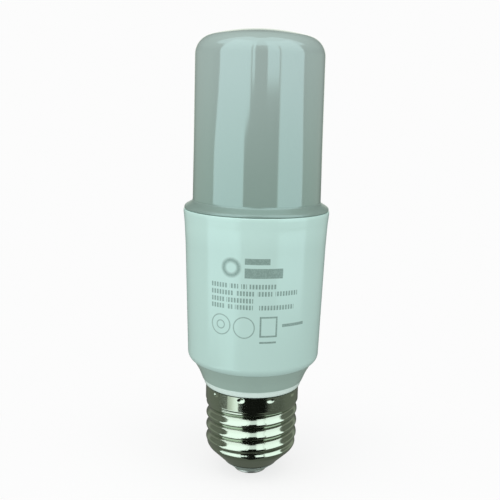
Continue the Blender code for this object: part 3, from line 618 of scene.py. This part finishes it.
def circuit_board_finish():
    """Green coating with lighter tracks, bare pads in rows and a weave of glass under it."""
    finish = Finish("green_mask_finish")
    x, z = finish.x, finish.z
    bricks = {"Vector": finish.vector(z, x, 0.0), "Scale": 0.35, "Mortar Size": 0.035, "Mortar Smooth": 0.1,
              "Brick Width": 1.9, "Row Height": 0.62}
    tracks = finish.add("ShaderNodeTexBrick", {"offset": 0.5}, bricks, 1)
    weave = (x * 16.0).sine() * (z * 16.0).sine() * 0.5 + 0.5
    pads = (x * 2.4).sine().rise(0.93, 0.97) * (z * 1.7).sine().rise(0.93, 0.97)
    base = finish.mix(tracks, srgb(30, 88, 52), srgb(58, 132, 80))
    base = finish.tint(base, 0.92 + 0.08 * weave)
    base = finish.mix(pads, base, srgb(198, 200, 196))
    return finish.surface(base, 0.36 + 0.1 * weave, tracks * 0.8 + weave * 0.1 + pads, 0.03, 0.6, pads)


def can_finish(node):
    """Dark sleeve with a pale stripe down one side, a bare metal top and bare leads."""
    corner, opposite, centre = box_mm(node)
    half = (opposite.x - corner.x) / 2
    finish = Finish(node + "_finish", coat_weight=0.3)
    stripe = finish.bearing(finish.x - centre.x, finish.y - centre.y).within(0.5, 1.1, 0.03)
    dash = (finish.z * 2.6).sine().rise(-0.2, 0.0)
    bare = finish.z.rise(opposite.z - 0.06, opposite.z - 0.02)
    bare = bare * finish.radius(centre.x, centre.y).rise(half - 0.6, half - 0.7)
    metal = finish.most(bare, finish.z.rise(corner.z + 1.6, corner.z + 1.5))
    base = finish.mix(stripe * (0.55 + 0.45 * dash), srgb(34, 38, 54), srgb(176, 178, 176))
    base = finish.mix(metal, base, srgb(196, 198, 200))
    return finish.grained(base, 900.0, (0.9, 0.12), (0.28, 0.12), 0.02, 0.4, metal)


def winding_finish():
    """Copper wire wound round the choke: turns side by side along Y, with painted light on their tops and
    painted shade between them.
    """
    wire_pitch = 0.32
    finish = Finish("winding_finish", metallic=1.0, coat_weight=0.5)
    wave = (finish.y * (math.tau / wire_pitch)).sine() * 0.5 + 0.5
    film = finish.noise(700.0)
    # Painted light and shade: each turn is lighter on its top and darker in the groove between turns
    base = finish.mix(wave * 0.6, srgb(112, 46, 20), srgb(206, 118, 60))
    base = finish.tint(base, 0.88 + 0.14 * film)
    return finish.surface(base, 0.22 + 0.15 * film, wave, 0.1, 0.8)


def film_capacitor_finish():
    """Dipped yellow case with a slight pull in its gloss."""
    finish = Finish("film_case_finish", coat_weight=0.6)
    cloud = finish.noise(300.0, 2.0)
    grain = finish.noise(2200.0, 2.0)
    base = finish.mix(cloud, srgb(206, 156, 46), srgb(226, 180, 76))
    return finish.surface(base, 0.22 + 0.12 * grain, cloud * 0.8 + grain * 0.1, 0.06, 0.5)


def chip_resistor_finish():
    """Black top with tinned ends on each of the chips in the row."""
    corner, opposite, first = box_mm("chip_resistor_1")
    second = box_mm("chip_resistor_2")[2]
    half, pitch = (opposite.x - corner.x) / 2, abs(second.x - first.x)
    finish = Finish("chip_resistor_finish")
    along = finish.math("PINGPONG", finish.x - first.x, pitch / 2)
    ends = along.rise(half * 0.66, half * 0.72)
    base = finish.mix(ends, srgb(24, 25, 28), srgb(200, 202, 202))
    return finish.grained(base, 4000.0, (0.86, 0.2), (0.3, 0.2), 0.015, 0.5, ends)


def package_finish():
    """Black moulded packages with tinned legs at their two sides and next to the board."""
    board_face, leg, beyond, soft = 1.2, 1.08, 0.1, 0.02
    finish = Finish("package_finish")
    legs = finish.y.rise(board_face, board_face - 0.05)
    for part in PACKAGES:
        corner, opposite, _ = box_mm(part)
        height = finish.z.within(corner.z, opposite.z, soft)
        for side in ((corner.x - beyond, corner.x + leg), (opposite.x - leg, opposite.x + beyond)):
            legs = finish.most(legs, finish.x.within(*side, soft) * height)
    base = finish.mix(legs, srgb(27, 28, 30), srgb(194, 196, 196))
    return finish.grained(base, 4200.0, (0.84, 0.24), (0.42 - 0.2 * legs, 0.2), 0.02, 0.6, legs)


def fuse_finish():
    """Pale coated body with two dark bands and bare leads."""
    centre = box_mm("fuse_resistor")[2]
    finish = Finish("fuse_finish")
    up = finish.z - centre.z
    bands = finish.most(up.within(-1.3, -0.8, 0.05), up.within(0.4, 0.9, 0.05))
    leads = finish.radius(centre.x, centre.y).rise(0.45, 0.35)
    base = finish.mix(bands, srgb(190, 214, 220), srgb(66, 60, 62))
    base = finish.mix(leads, base, srgb(196, 198, 198))
    return finish.grained(base, 3000.0, (0.9, 0.12), (0.4, 0.2), 0.02, 0.5, leads)


def wire_finish(node, levels):
    """Insulated wire with bare, tinned ends."""
    corner, opposite, _ = box_mm(node)
    finish = Finish(node + "_finish")
    z = finish.z
    ends = finish.most(z.rise(corner.z + 0.9, corner.z + 0.8), z.rise(opposite.z - 0.9, opposite.z - 0.8))
    base = finish.mix(ends, srgb(*levels), srgb(198, 198, 196))
    return finish.grained(base, 2600.0, (0.88, 0.16), (0.36, 0.15), 0.02, 0.5, ends)


# Pieces

class Step:
    """A step of the build, which its own make() does."""

    def execute(self, context):
        self.make(context.scene)
        return {"FINISHED"}


def smooth(value):
    """Smooth step: 3 v^2 - 2 v^3, with v kept between 0 and 1."""
    value = np.clip(value, 0.0, 1.0)
    return value * value * (3.0 - 2.0 * value)


def thread_wave(sizes, away):
    """Depth under the crests at some distances along the axis from the nearest crest.

    Crests and roots are circular arcs with straight flanks between them that touch both.
    """
    quarter = sizes.thread_pitch / 4
    half_depth = sizes.thread_depth / 2
    rounding = sizes.thread_round
    past = half_depth - rounding
    flank = math.asin(rounding / math.hypot(quarter, past)) + math.atan2(past, quarter)
    from_end = np.minimum(away, 2 * quarter - away)
    arc_end = rounding * math.sin(flank)
    on_arc = rounding - np.sqrt(rounding ** 2 - np.minimum(from_end, arc_end) ** 2)
    on_flank = half_depth - (quarter - from_end) * math.tan(flank)
    off_end = np.where(from_end < arc_end, on_arc, on_flank)
    return np.where(away < quarter, off_end, sizes.thread_depth - off_end)


def shell_radius(sizes, height, angle, inset):
    """Radius of the shell's sheet at heights and angles, on its outer side or inset from it.

    The nose is a 45 degree cone that an arc bends upright. Over it the radius is the crest's, less a
    wave whose phase rises one pitch a turn and which dies out at both ends with a smooth step. The
    collar's punch marks are round hollows.
    """
    lower_fade, upper_fade = 2.0 * MM, 1.6 * MM
    collar_start, collar_bend = 0.2 * MM, 0.5 * MM
    mark_height = shell_top - 0.75 * MM
    mark_half_width, mark_half_height, mark_edge = 0.85 * MM, 0.6 * MM, 1.25
    first_mark = math.radians(-13.0)
    nose_reach = sizes.crest_radius - sizes.nose_round
    nose_top = shell_bottom + nose_reach + sizes.nose_round * math.sqrt(2.0) - sizes.mouth_radius
    thread_top = shell_top - sizes.collar_height
    bend = sizes.nose_round - inset
    bend_height = bend / math.sqrt(2.0)
    drop = np.clip(nose_top - height, 0.0, bend_height)
    cone = np.minimum(height - nose_top + bend_height, 0.0)
    radius = nose_reach + np.sqrt(bend ** 2 - drop ** 2) + cone
    phase = (height - sizes.front_crest) / sizes.thread_pitch - angle / math.tau
    away = np.abs(phase - np.round(phase)) * sizes.thread_pitch
    fade = smooth((height - nose_top + lower_fade) / lower_fade) * smooth((thread_top - height) / upper_fade)
    radius = radius - thread_wave(sizes, away) * fade
    step = smooth((height - thread_top + collar_start) / collar_bend)
    radius = radius + (sizes.collar_radius - sizes.crest_radius) * step
    for index in range(sizes.punch_count):
        turn = first_mark + math.tau * index / sizes.punch_count
        aside = (np.mod(angle - turn + math.pi, math.tau) - math.pi) * sizes.collar_radius
        reach = np.hypot(aside / mark_half_width, (height - mark_height) / mark_half_height)
        radius = radius - sizes.punch_depth * smooth(mark_edge - reach)
    return radius


def shell_grid(sizes):
    """Both sides of the threaded sheet: outer side from the mouth up, then inner side back down."""
    columns, rings, inner_every = 320, 190, 4
    nose_height = 8.5 * MM
    turn = np.mod(np.arange(columns) * (math.tau / columns) + math.pi / 2, math.tau)
    outer_heights = np.linspace(shell_bottom, shell_top, rings)
    lean = sizes.sheet / math.sqrt(2.0)
    rise = np.clip((shell_bottom + nose_height - outer_heights) / nose_height, 0.0, 1.0)
    inner_heights = (outer_heights + lean * rise)[::inner_every][::-1]
    inner_heights[0] = shell_top
    sides = []
    for heights, inset in ((outer_heights, 0.0), (inner_heights, sizes.sheet)):
        radius = shell_radius(sizes, heights[:, None], turn[None, :], inset)
        sides.append(ring_grid(radius, heights[:, None], columns))
    return np.concatenate(sides)


class LAMP_OT_shell(Step, bpy.types.Operator):
    """Builds the threaded nickel shell with its punched collar."""

    bl_idname = "lamp.shell"
    bl_label = "Threaded shell"

    def make(self, scene):
        finish = nickel_finish(scene.lamp_colours)
        place_piece("threaded_shell", shell_grid(scene.lamp_cap), finish, "nickel_plate", "screw_shell")


def housing_levels(body):
    """Heights of the lip's lower edge, of its top and of the neck's top."""
    lip_bottom = shell_top + 0.3 * MM
    lip_top = lip_bottom + body.lip_height
    return lip_bottom, lip_top, lip_top + body.neck_height


def housing_outline(cap, body):
    """Outside of the housing from its spigot up to its rim, then its inside back down."""
    wall = 1.5 * MM
    lip_edge, neck_edge, rim_edge = 0.35 * MM, 0.12 * MM, 0.28 * MM
    lip_bottom, lip_top, neck_top = housing_levels(body)
    foot_in = body.foot_radius - body.foot_round
    foot_angle = math.acos((body.neck_top_radius - foot_in) / body.foot_round)
    foot_top = neck_top + body.foot_round * math.sin(foot_angle)
    spigot = cap.crest_radius - cap.sheet - 1.2 * MM
    land = cap.crest_radius - cap.sheet - 0.3 * MM
    bore = spigot - wall
    wall_top = rim_radius - body.rim_flare
    lip, neck = body.lip_radius, body.neck_radius
    flare = np.vstack((near((wall_top, housing_top), (-0.34, -10.0), (-0.04, -4.4)),
                       near((rim_radius, housing_top), (-0.14, -2.2), (0.0, -0.8))))
    return outline(
        line((spigot, housing_bottom), (spigot, lip_bottom - 4.5 * MM), 4),
        line((land, lip_bottom - 4.0 * MM), (land, lip_bottom), 3),
        arc((lip - lip_edge, lip_bottom + lip_edge), lip_edge, -90.0, -10.0, 5),
        line((lip + 0.06 * MM, lip_bottom + lip_edge), (neck - 0.22 * MM, lip_top - neck_edge), 5),
        arc((neck - 0.34 * MM, lip_top - neck_edge), neck_edge, 15.0, 90.0, 3),
        curve(((neck - 0.04 * MM, lip_top), (15.5 * MM, lip_top + 2.7 * MM),
               (body.neck_top_radius - 0.2 * MM, neck_top - 0.04 * MM)), 8),
        arc((foot_in, foot_top), body.foot_round, -math.degrees(foot_angle), 0.0, 12),
        line((body.foot_radius, foot_top), flare[0], 6),
        curve(flare, 10),
        arc((rim_radius - rim_edge, housing_top - rim_edge), rim_edge, 0.0, 90.0, 8),
        line((wall_top - wall, housing_top), (body.foot_radius - wall, foot_top), 6),
        line((body.neck_top_radius - wall, neck_top), (neck - wall, lip_top), 3),
        line((bore, lip_top), (bore, housing_bottom), 4),
    )


class LAMP_OT_housing(Step, bpy.types.Operator):
    """Builds the tapered housing with its lip, neck band and rim."""

    bl_idname = "lamp.housing"
    bl_label = "Housing"

    def make(self, scene):
        grid = turned_grid(housing_outline(scene.lamp_cap, scene.lamp_body))
        finish = housing_finish(scene.lamp_colours, scene.lamp_body)
        place_piece("moulded_housing", grid, finish, "housing_plastic", "housing")


def dome(radius, top, round_radius, crown_radius, steps):
    """Side-to-axis outline of a domed end: a shoulder arc that runs into a shallow crown arc."""
    almost_up = 89.8
    reach, between = radius - round_radius, crown_radius - round_radius
    tilt = math.asin(reach / between)
    centre = (reach, top - crown_radius + between * math.cos(tilt))
    start = 90.0 - math.degrees(tilt)
    return outline(arc(centre, round_radius, 0.0, start, steps),
                   arc((0.0, top - crown_radius), crown_radius, start, almost_up, steps))


def cover_outline(body):
    """Outside of the cover from its crown down to its flange, then its inside back up to the crown."""
    wall = 1.1 * MM
    edge = 0.2 * MM
    flange_bottom = housing_top + 0.08 * MM
    flange = rim_radius - 0.2 * MM
    spigot = cover_spigot_radius()
    tube_top, round_radius, crown_radius = body.cover_top_radius, body.shoulder_round, body.crown_round
    inside = tube_top - wall
    tube_foot = (body.cover_radius, flange_bottom)
    flange_edge = (flange, flange_bottom)
    return outline(
        dome(tube_top, crown_top, round_radius, crown_radius, 20)[::-1],
        line((tube_top, crown_top - 7.1 * MM), near(tube_foot, (0.0, 3.2))[0], 12),
        curve(near(tube_foot, (0.0, 2.78), (0.03, 2.33), (0.17, 2.00), (0.48, 1.74)), 5),
        line(near(tube_foot, (0.55, 1.70))[0], near(flange_edge, (-0.46, 0.96))[0], 6),
        curve(near(flange_edge, (-0.36, 0.89), (-0.08, 0.60), (0.0, 0.20)), 4),
        arc((flange - edge, flange_bottom + edge), edge, 0.0, -90.0, 5),
        line((spigot, flange_bottom), (spigot, cover_bottom), 3),
        line((inside, cover_bottom), (inside, crown_top - 8.0 * MM), 6),
        dome(inside, crown_top - wall, round_radius - wall, crown_radius - wall, 8),
    )


def cover_spigot_radius():
    """Radius of the cover's spigot: the widest part of its CAD node at its lowest edge."""
    almost_lowest = 0.01 * MM
    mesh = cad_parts["diffuser"].data
    points = np.empty(len(mesh.vertices) * 3)
    mesh.vertices.foreach_get("co", points)
    points = points.reshape(-1, 3)
    lowest = points[points[:, 2] < cover_bottom + almost_lowest]
    return float(np.hypot(lowest[:, 0], lowest[:, 1]).max())


class LAMP_OT_cover(Step, bpy.types.Operator):
    """Builds the opal cover with its domed top and its flange."""

    bl_idname = "lamp.cover"
    bl_label = "Opal cover"

    def make(self, scene):
        grid = turned_grid(cover_outline(scene.lamp_body))
        finish = opal_finish(scene.lamp_colours)
        place_piece("opal_cover", grid, finish, "opal_diffuser", "diffuser", loop=False)


def insulator_outline(cap):
    """Cone under the shell, a waist in its mouth and a flare inside it, round a small bore."""
    bore, face = 1.2 * MM, 5.2 * MM
    edge = 0.16 * MM
    overlap = 0.01 * MM
    waist = cap.mouth_radius - 0.6 * MM * math.sqrt(2.0)
    cone_top = shell_bottom - 0.3 * MM
    flare = insulator_top - 0.8 * MM
    wide = waist + flare - shell_bottom
    cone_foot = near((0.0, insulator_bottom), (5.45, 0.05), (6.3, 0.75))
    return outline(
        line((bore, insulator_bottom), (face, insulator_bottom), 3),
        curve((*cone_foot, (7.6 * MM, cone_top - 0.12 * MM)), 5),
        arc((7.5 * MM, cone_top - edge), edge, -10.0, 90.0, 4),
        line((waist, cone_top), (waist, shell_bottom), 2),
        line((waist + overlap, shell_bottom), (wide, flare), 3),
        line((wide, flare), (wide, insulator_top), 2),
        line((wide - overlap, insulator_top), (bore, insulator_top), 3),
    )


def contact_outline():
    """Flat button with a rounded edge and a short pin."""
    radius, thickness, pin = 4.7 * MM, 0.7 * MM, 0.9 * MM
    edge, top_edge = 0.3 * MM, 0.1 * MM
    inner, pin_inner = 0.4 * MM, 0.3 * MM
    return outline(
        line((inner, 0.0), (radius - edge, 0.0), 6),
        arc((radius - edge, edge), edge, -90.0, 0.0, 6),
        line((radius, edge), (radius, thickness - top_edge), 2),
        arc((radius - top_edge, thickness - top_edge), top_edge, 0.0, 90.0, 3),
        line((pin, thickness), (pin, contact_top - top_edge), 3),
        line((pin - top_edge, contact_top), (pin_inner, contact_top), 1),
    )


class LAMP_OT_tip(Step, bpy.types.Operator):
    """Builds the insulator and the contact at the lamp's tip."""

    bl_idname = "lamp.tip"
    bl_label = "Tip"

    def make(self, scene):
        columns = ROUND // 2
        grid = turned_grid(insulator_outline(scene.lamp_cap), columns)
        finish = insulator_finish(scene.lamp_colours)
        place_piece("cap_insulator", grid, finish, "insulator_plastic", "insulator")
        grid = turned_grid(contact_outline(), columns)
        finish = contact_finish(scene.lamp_colours)
        place_piece("contact_button", grid, finish, "contact_metal", "centre_contact", loop=False)


class LAMP_OT_light_board(Step, bpy.types.Operator):
    """Gives the cup, the light board, its chips, screws and socket their finishes."""

    bl_idname = "lamp.light_board"
    bl_label = "Light board"

    def make(self, scene):
        dress(sheet_metal_finish("aluminium_finish", (206, 209, 212), 0.3, 5.0), "heat_sink_cup")
        dress(light_board_finish(), "led_board")
        chips = [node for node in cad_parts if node.startswith("led_") and node != "led_board"]
        dress(light_chip_finish(), *chips)
        steel = sheet_metal_finish("screw_finish", (178, 180, 182), 0.24, 14.0)
        dress(steel, "board_screw_1", "board_screw_2")
        dress(moulded_finish("socket_finish", (226, 223, 212), 0.4), "pin_socket")


class LAMP_OT_driver(Step, bpy.types.Operator):
    """Gives the driver board, the parts on it and the wires their finishes."""

    bl_idname = "lamp.driver"
    bl_label = "Driver"

    def make(self, scene):
        dress(circuit_board_finish(), "driver_board")
        dress(sheet_metal_finish("tinned_finish", (196, 198, 200), 0.2, 8.0), "output_pin_1", "output_pin_2")
        for node in ("input_capacitor", "output_capacitor"):
            dress(can_finish(node), node)
        dress(moulded_finish("ferrite_finish", (64, 62, 63), 0.55), "choke_core")
        dress(winding_finish(), "choke_winding")
        dress(package_finish(), *PACKAGES)
        dress(film_capacitor_finish(), "film_capacitor")
        dress(chip_resistor_finish(), "chip_resistor_1", "chip_resistor_2", "chip_resistor_3")
        dress(fuse_finish(), "fuse_resistor")
        dress(wire_finish("live_wire", (166, 38, 32)), "live_wire")
        dress(wire_finish("neutral_wire", (46, 76, 148)), "neutral_wire")


# Studio

def make_top_lamp(studio):
    """Soft area lamp from above that shiny surfaces don't mirror; it faces the model's middle."""
    width, depth, distance = 2.00, 0.70, 0.70
    middle_height = 0.065
    elevation = math.radians(58.0)
    data = bpy.data.lights.new("top_panel", "AREA")
    data.shape = "RECTANGLE"
    data.size = width
    data.size_y = depth
    data.energy = studio.panel_level * 0.44 * width * depth * 4.0
    lamp = new_object("top_panel", data)
    tilt = Matrix.Rotation(math.pi / 2 - elevation, 4, "X")
    middle, away = (Matrix.Translation((0.0, 0.0, step)) for step in (middle_height, distance))
    lamp.matrix_world = middle @ tilt @ away
    lamp.visible_camera = False
    lamp.visible_glossy = False


def make_world(studio):
    """White paper for what the camera sees, soft even light for what is matt, and a room for what shines.

    The room has light panels, a dark gap between them on the camera's side, and white paper behind the lamp.
    Places in it are bearings from the camera's side, positive to the right, and elevations, in degrees.
    """
    world = bpy.data.worlds.new("room")
    world.use_nodes = True
    bpy.context.scene.world = world
    room = Tree(world.node_tree)
    path = room.add("ShaderNodeLightPath").socket.node
    camera, passing, glossy = (Wire(room, path.outputs[f"Is {ray} Ray"])
                               for ray in ("Camera", "Transmission", "Glossy"))
    seen = room.most(camera, passing)
    x, y, z = room.split(room.add("ShaderNodeTexCoord"))
    around = room.bearing(x, y) * math.degrees(1.0)
    upward = room.math("ARCSINE", z) * math.degrees(1.0)

    def patch(sides, heights, soft):
        return around.within(*sides, soft) * upward.within(*heights, soft)

    # The cap's collar mirrors the low band, where the left panel and the gap have other sides
    low = upward.within(-25.5, -19.8, 0.7)
    dimmed = low * (0.22 + 0.40 * around.rise(-36.0, -60.0))
    left_sides = (-83.0 + 10.0 * upward.rise(-4.0, 4.0) + 21.0 * low,
                  -24.0 + 9.0 * upward.rise(-1.8, 0.6) - 9.5 * low)
    left = patch(left_sides, (-38.0, 62.0), 0.9) * (1 - dimmed)
    left = room.most(left, patch((-12.9, -8.5), (2.4, 62.0), 0.6))
    right_sides = (36.2, 82.3 + 4.4 * upward.rise(3.5, -6.0))
    right = room.most(patch(right_sides, (-17.5, 60.0), 1.6), patch((13.0, 34.0), (2.2, 62.0), 0.6))
    gap = patch((-26.0 - 5.0 * low, 36.0 + 6.0 * low), (-86.0, 36.5), 2.0 + 8.0 * low)
    above = patch((-100.0, 100.0), (36.0, 82.0), 2.0)
    behind = y.rise(0.93, 0.97) * z.rise(-0.12, -0.04)

    # The room is lighter beside the lamp, most of all near the horizon and on the right
    on_right = x.rise(0.0, 0.5)
    edge_light = (0.52 + 0.30 * on_right) * upward.within(-13.0, 8.0, 3.0)
    beside = around.size().within(86.0, 144.0, 12.0) * (0.26 * upward.rise(-60.0, -30.0) + edge_light)
    level = studio.room_level * (0.58 + beside) * (1 - 0.10 * on_right) * (1 - 0.94 * gap)
    paper, bright = studio.paper_level, studio.panel_level
    for mask, own in ((behind, paper), (above, bright * 0.66), (left, bright), (right, bright * 0.95)):
        level = level + (own - level) * mask
    panel = room.most(above, left, right)
    fill = studio.fill_level * (1 - 0.13 * x)
    shares = []
    for plain, lit in zip(ROOM_TINT, PANEL_TINT):
        tinted = level * (plain + panel * (lit - plain))
        shares.append(seen * paper + (1 - seen) * (glossy * tinted + (1 - glossy) * fill))
    background = world.node_tree.nodes["Background"]
    room.feed(background.inputs["Color"], room.add("ShaderNodeCombineColor", None, dict(enumerate(shares))))


def make_floor(studio):
    """Pale floor that keeps the lamp's soft shadow and fades into the paper further out."""
    half, under = 3.0, 0.2 * MM
    fade_start, fade_end = 0.02, 0.09
    grey, white = (0.24, 0.24, 0.24, 1.0), (1.0, 1.0, 1.0, 1.0)
    mesh = bpy.data.meshes.new("floor")
    corners = [(-half, -half, 0.0), (half, -half, 0.0), (half, half, 0.0), (-half, half, 0.0)]
    mesh.from_pydata(corners, [], [(0, 1, 2, 3)])
    floor = new_object("floor", mesh)
    floor.location.z = -under
    material = bpy.data.materials.new("floor_paper")
    material.use_nodes = True
    nodes = material.node_tree.nodes
    nodes.remove(nodes["Principled BSDF"])
    tree = Tree(material.node_tree)
    x, y, _ = tree.split(tree.add("ShaderNodeTexCoord", output=3))
    far = tree.distance(x, y).rise(fade_start, fade_end)
    lit = tree.add("ShaderNodeBsdfDiffuse", None, {"Color": grey})
    glow = tree.add("ShaderNodeEmission", None, {"Color": white, "Strength": studio.floor_level})
    close = tree.add("ShaderNodeAddShader", None, {0: lit, 1: glow})
    paper = tree.add("ShaderNodeEmission", None, {"Color": white, "Strength": studio.paper_level})
    both = tree.add("ShaderNodeMixShader", None, {0: far, 1: close, 2: paper})
    tree.feed(nodes["Material Output"].inputs["Surface"], both)
    mesh.materials.append(material)
    for ray in ("visible_diffuse", "visible_glossy", "visible_shadow"):
        setattr(floor, ray, False)


def make_camera(studio):
    """Camera on the front side that looks a little down and leans a little."""
    data = bpy.data.cameras.new("camera")
    data.sensor_width = 36.0
    data.lens = studio.focal_length
    data.shift_x = studio.shift
    data.clip_start = 0.01
    data.clip_end = 20.0
    camera = new_object("camera", data)
    place = Matrix.Translation((0.0, -studio.camera_distance, studio.camera_height))
    look = Matrix.Rotation(math.pi / 2 - studio.camera_pitch, 4, "X")
    lean = Matrix.Rotation(studio.camera_roll, 4, "Z")
    camera.matrix_world = place @ look @ lean
    bpy.context.scene.camera = camera


class LAMP_OT_studio(Step, bpy.types.Operator):
    """Sets up the floor, the room, the lamp above and the camera."""

    bl_idname = "lamp.studio"
    bl_label = "Studio"

    def make(self, scene):
        studio = scene.lamp_studio
        for make in (make_floor, make_world, make_top_lamp, make_camera):
            make(studio)
        scene.view_settings.view_transform = "Standard"


PIECES = (LAMP_OT_shell, LAMP_OT_housing, LAMP_OT_cover, LAMP_OT_tip, LAMP_OT_light_board, LAMP_OT_driver,
          LAMP_OT_studio)
GROUPS = {"lamp_cap": LampCapSizes, "lamp_body": LampBodySizes, "lamp_colours": LampColours,
          "lamp_studio": LampStudio}


class LAMP_PT_build(bpy.types.Panel):
    """Lists the lamp's sizes, colours and pieces."""

    bl_idname = "LAMP_PT_build"
    bl_label = "LED capsule lamp"
    bl_space_type = "VIEW_3D"
    bl_region_type = "UI"
    bl_category = "Lamp"

    def draw(self, context):
        for group in GROUPS:
            box = self.layout.box()
            values = getattr(context.scene, group)
            for name in values.bl_rna.properties.keys():
                if name not in ("rna_type", "name"):
                    box.prop(values, name)
        for operator in PIECES:
            self.layout.operator(operator.bl_idname)


CLASSES = (*GROUPS.values(), *PIECES, LAMP_PT_build)


def register():
    """Register the classes and hang the properties on the scene."""
    for item in CLASSES:
        bpy.utils.register_class(item)
    for name, group in GROUPS.items():
        setattr(bpy.types.Scene, name, PointerProperty(type=group))


def unregister():
    """Take the properties and the classes away again."""
    for name in GROUPS:
        delattr(bpy.types.Scene, name)
    for item in reversed(CLASSES):
        bpy.utils.unregister_class(item)


def main():
    """Build every piece."""
    register()
    bpy.ops.lamp.shell()
    bpy.ops.lamp.housing()
    bpy.ops.lamp.cover()
    bpy.ops.lamp.tip()
    bpy.ops.lamp.light_board()
    bpy.ops.lamp.driver()
    bpy.ops.lamp.studio()


if __name__ == "__main__":
    main()
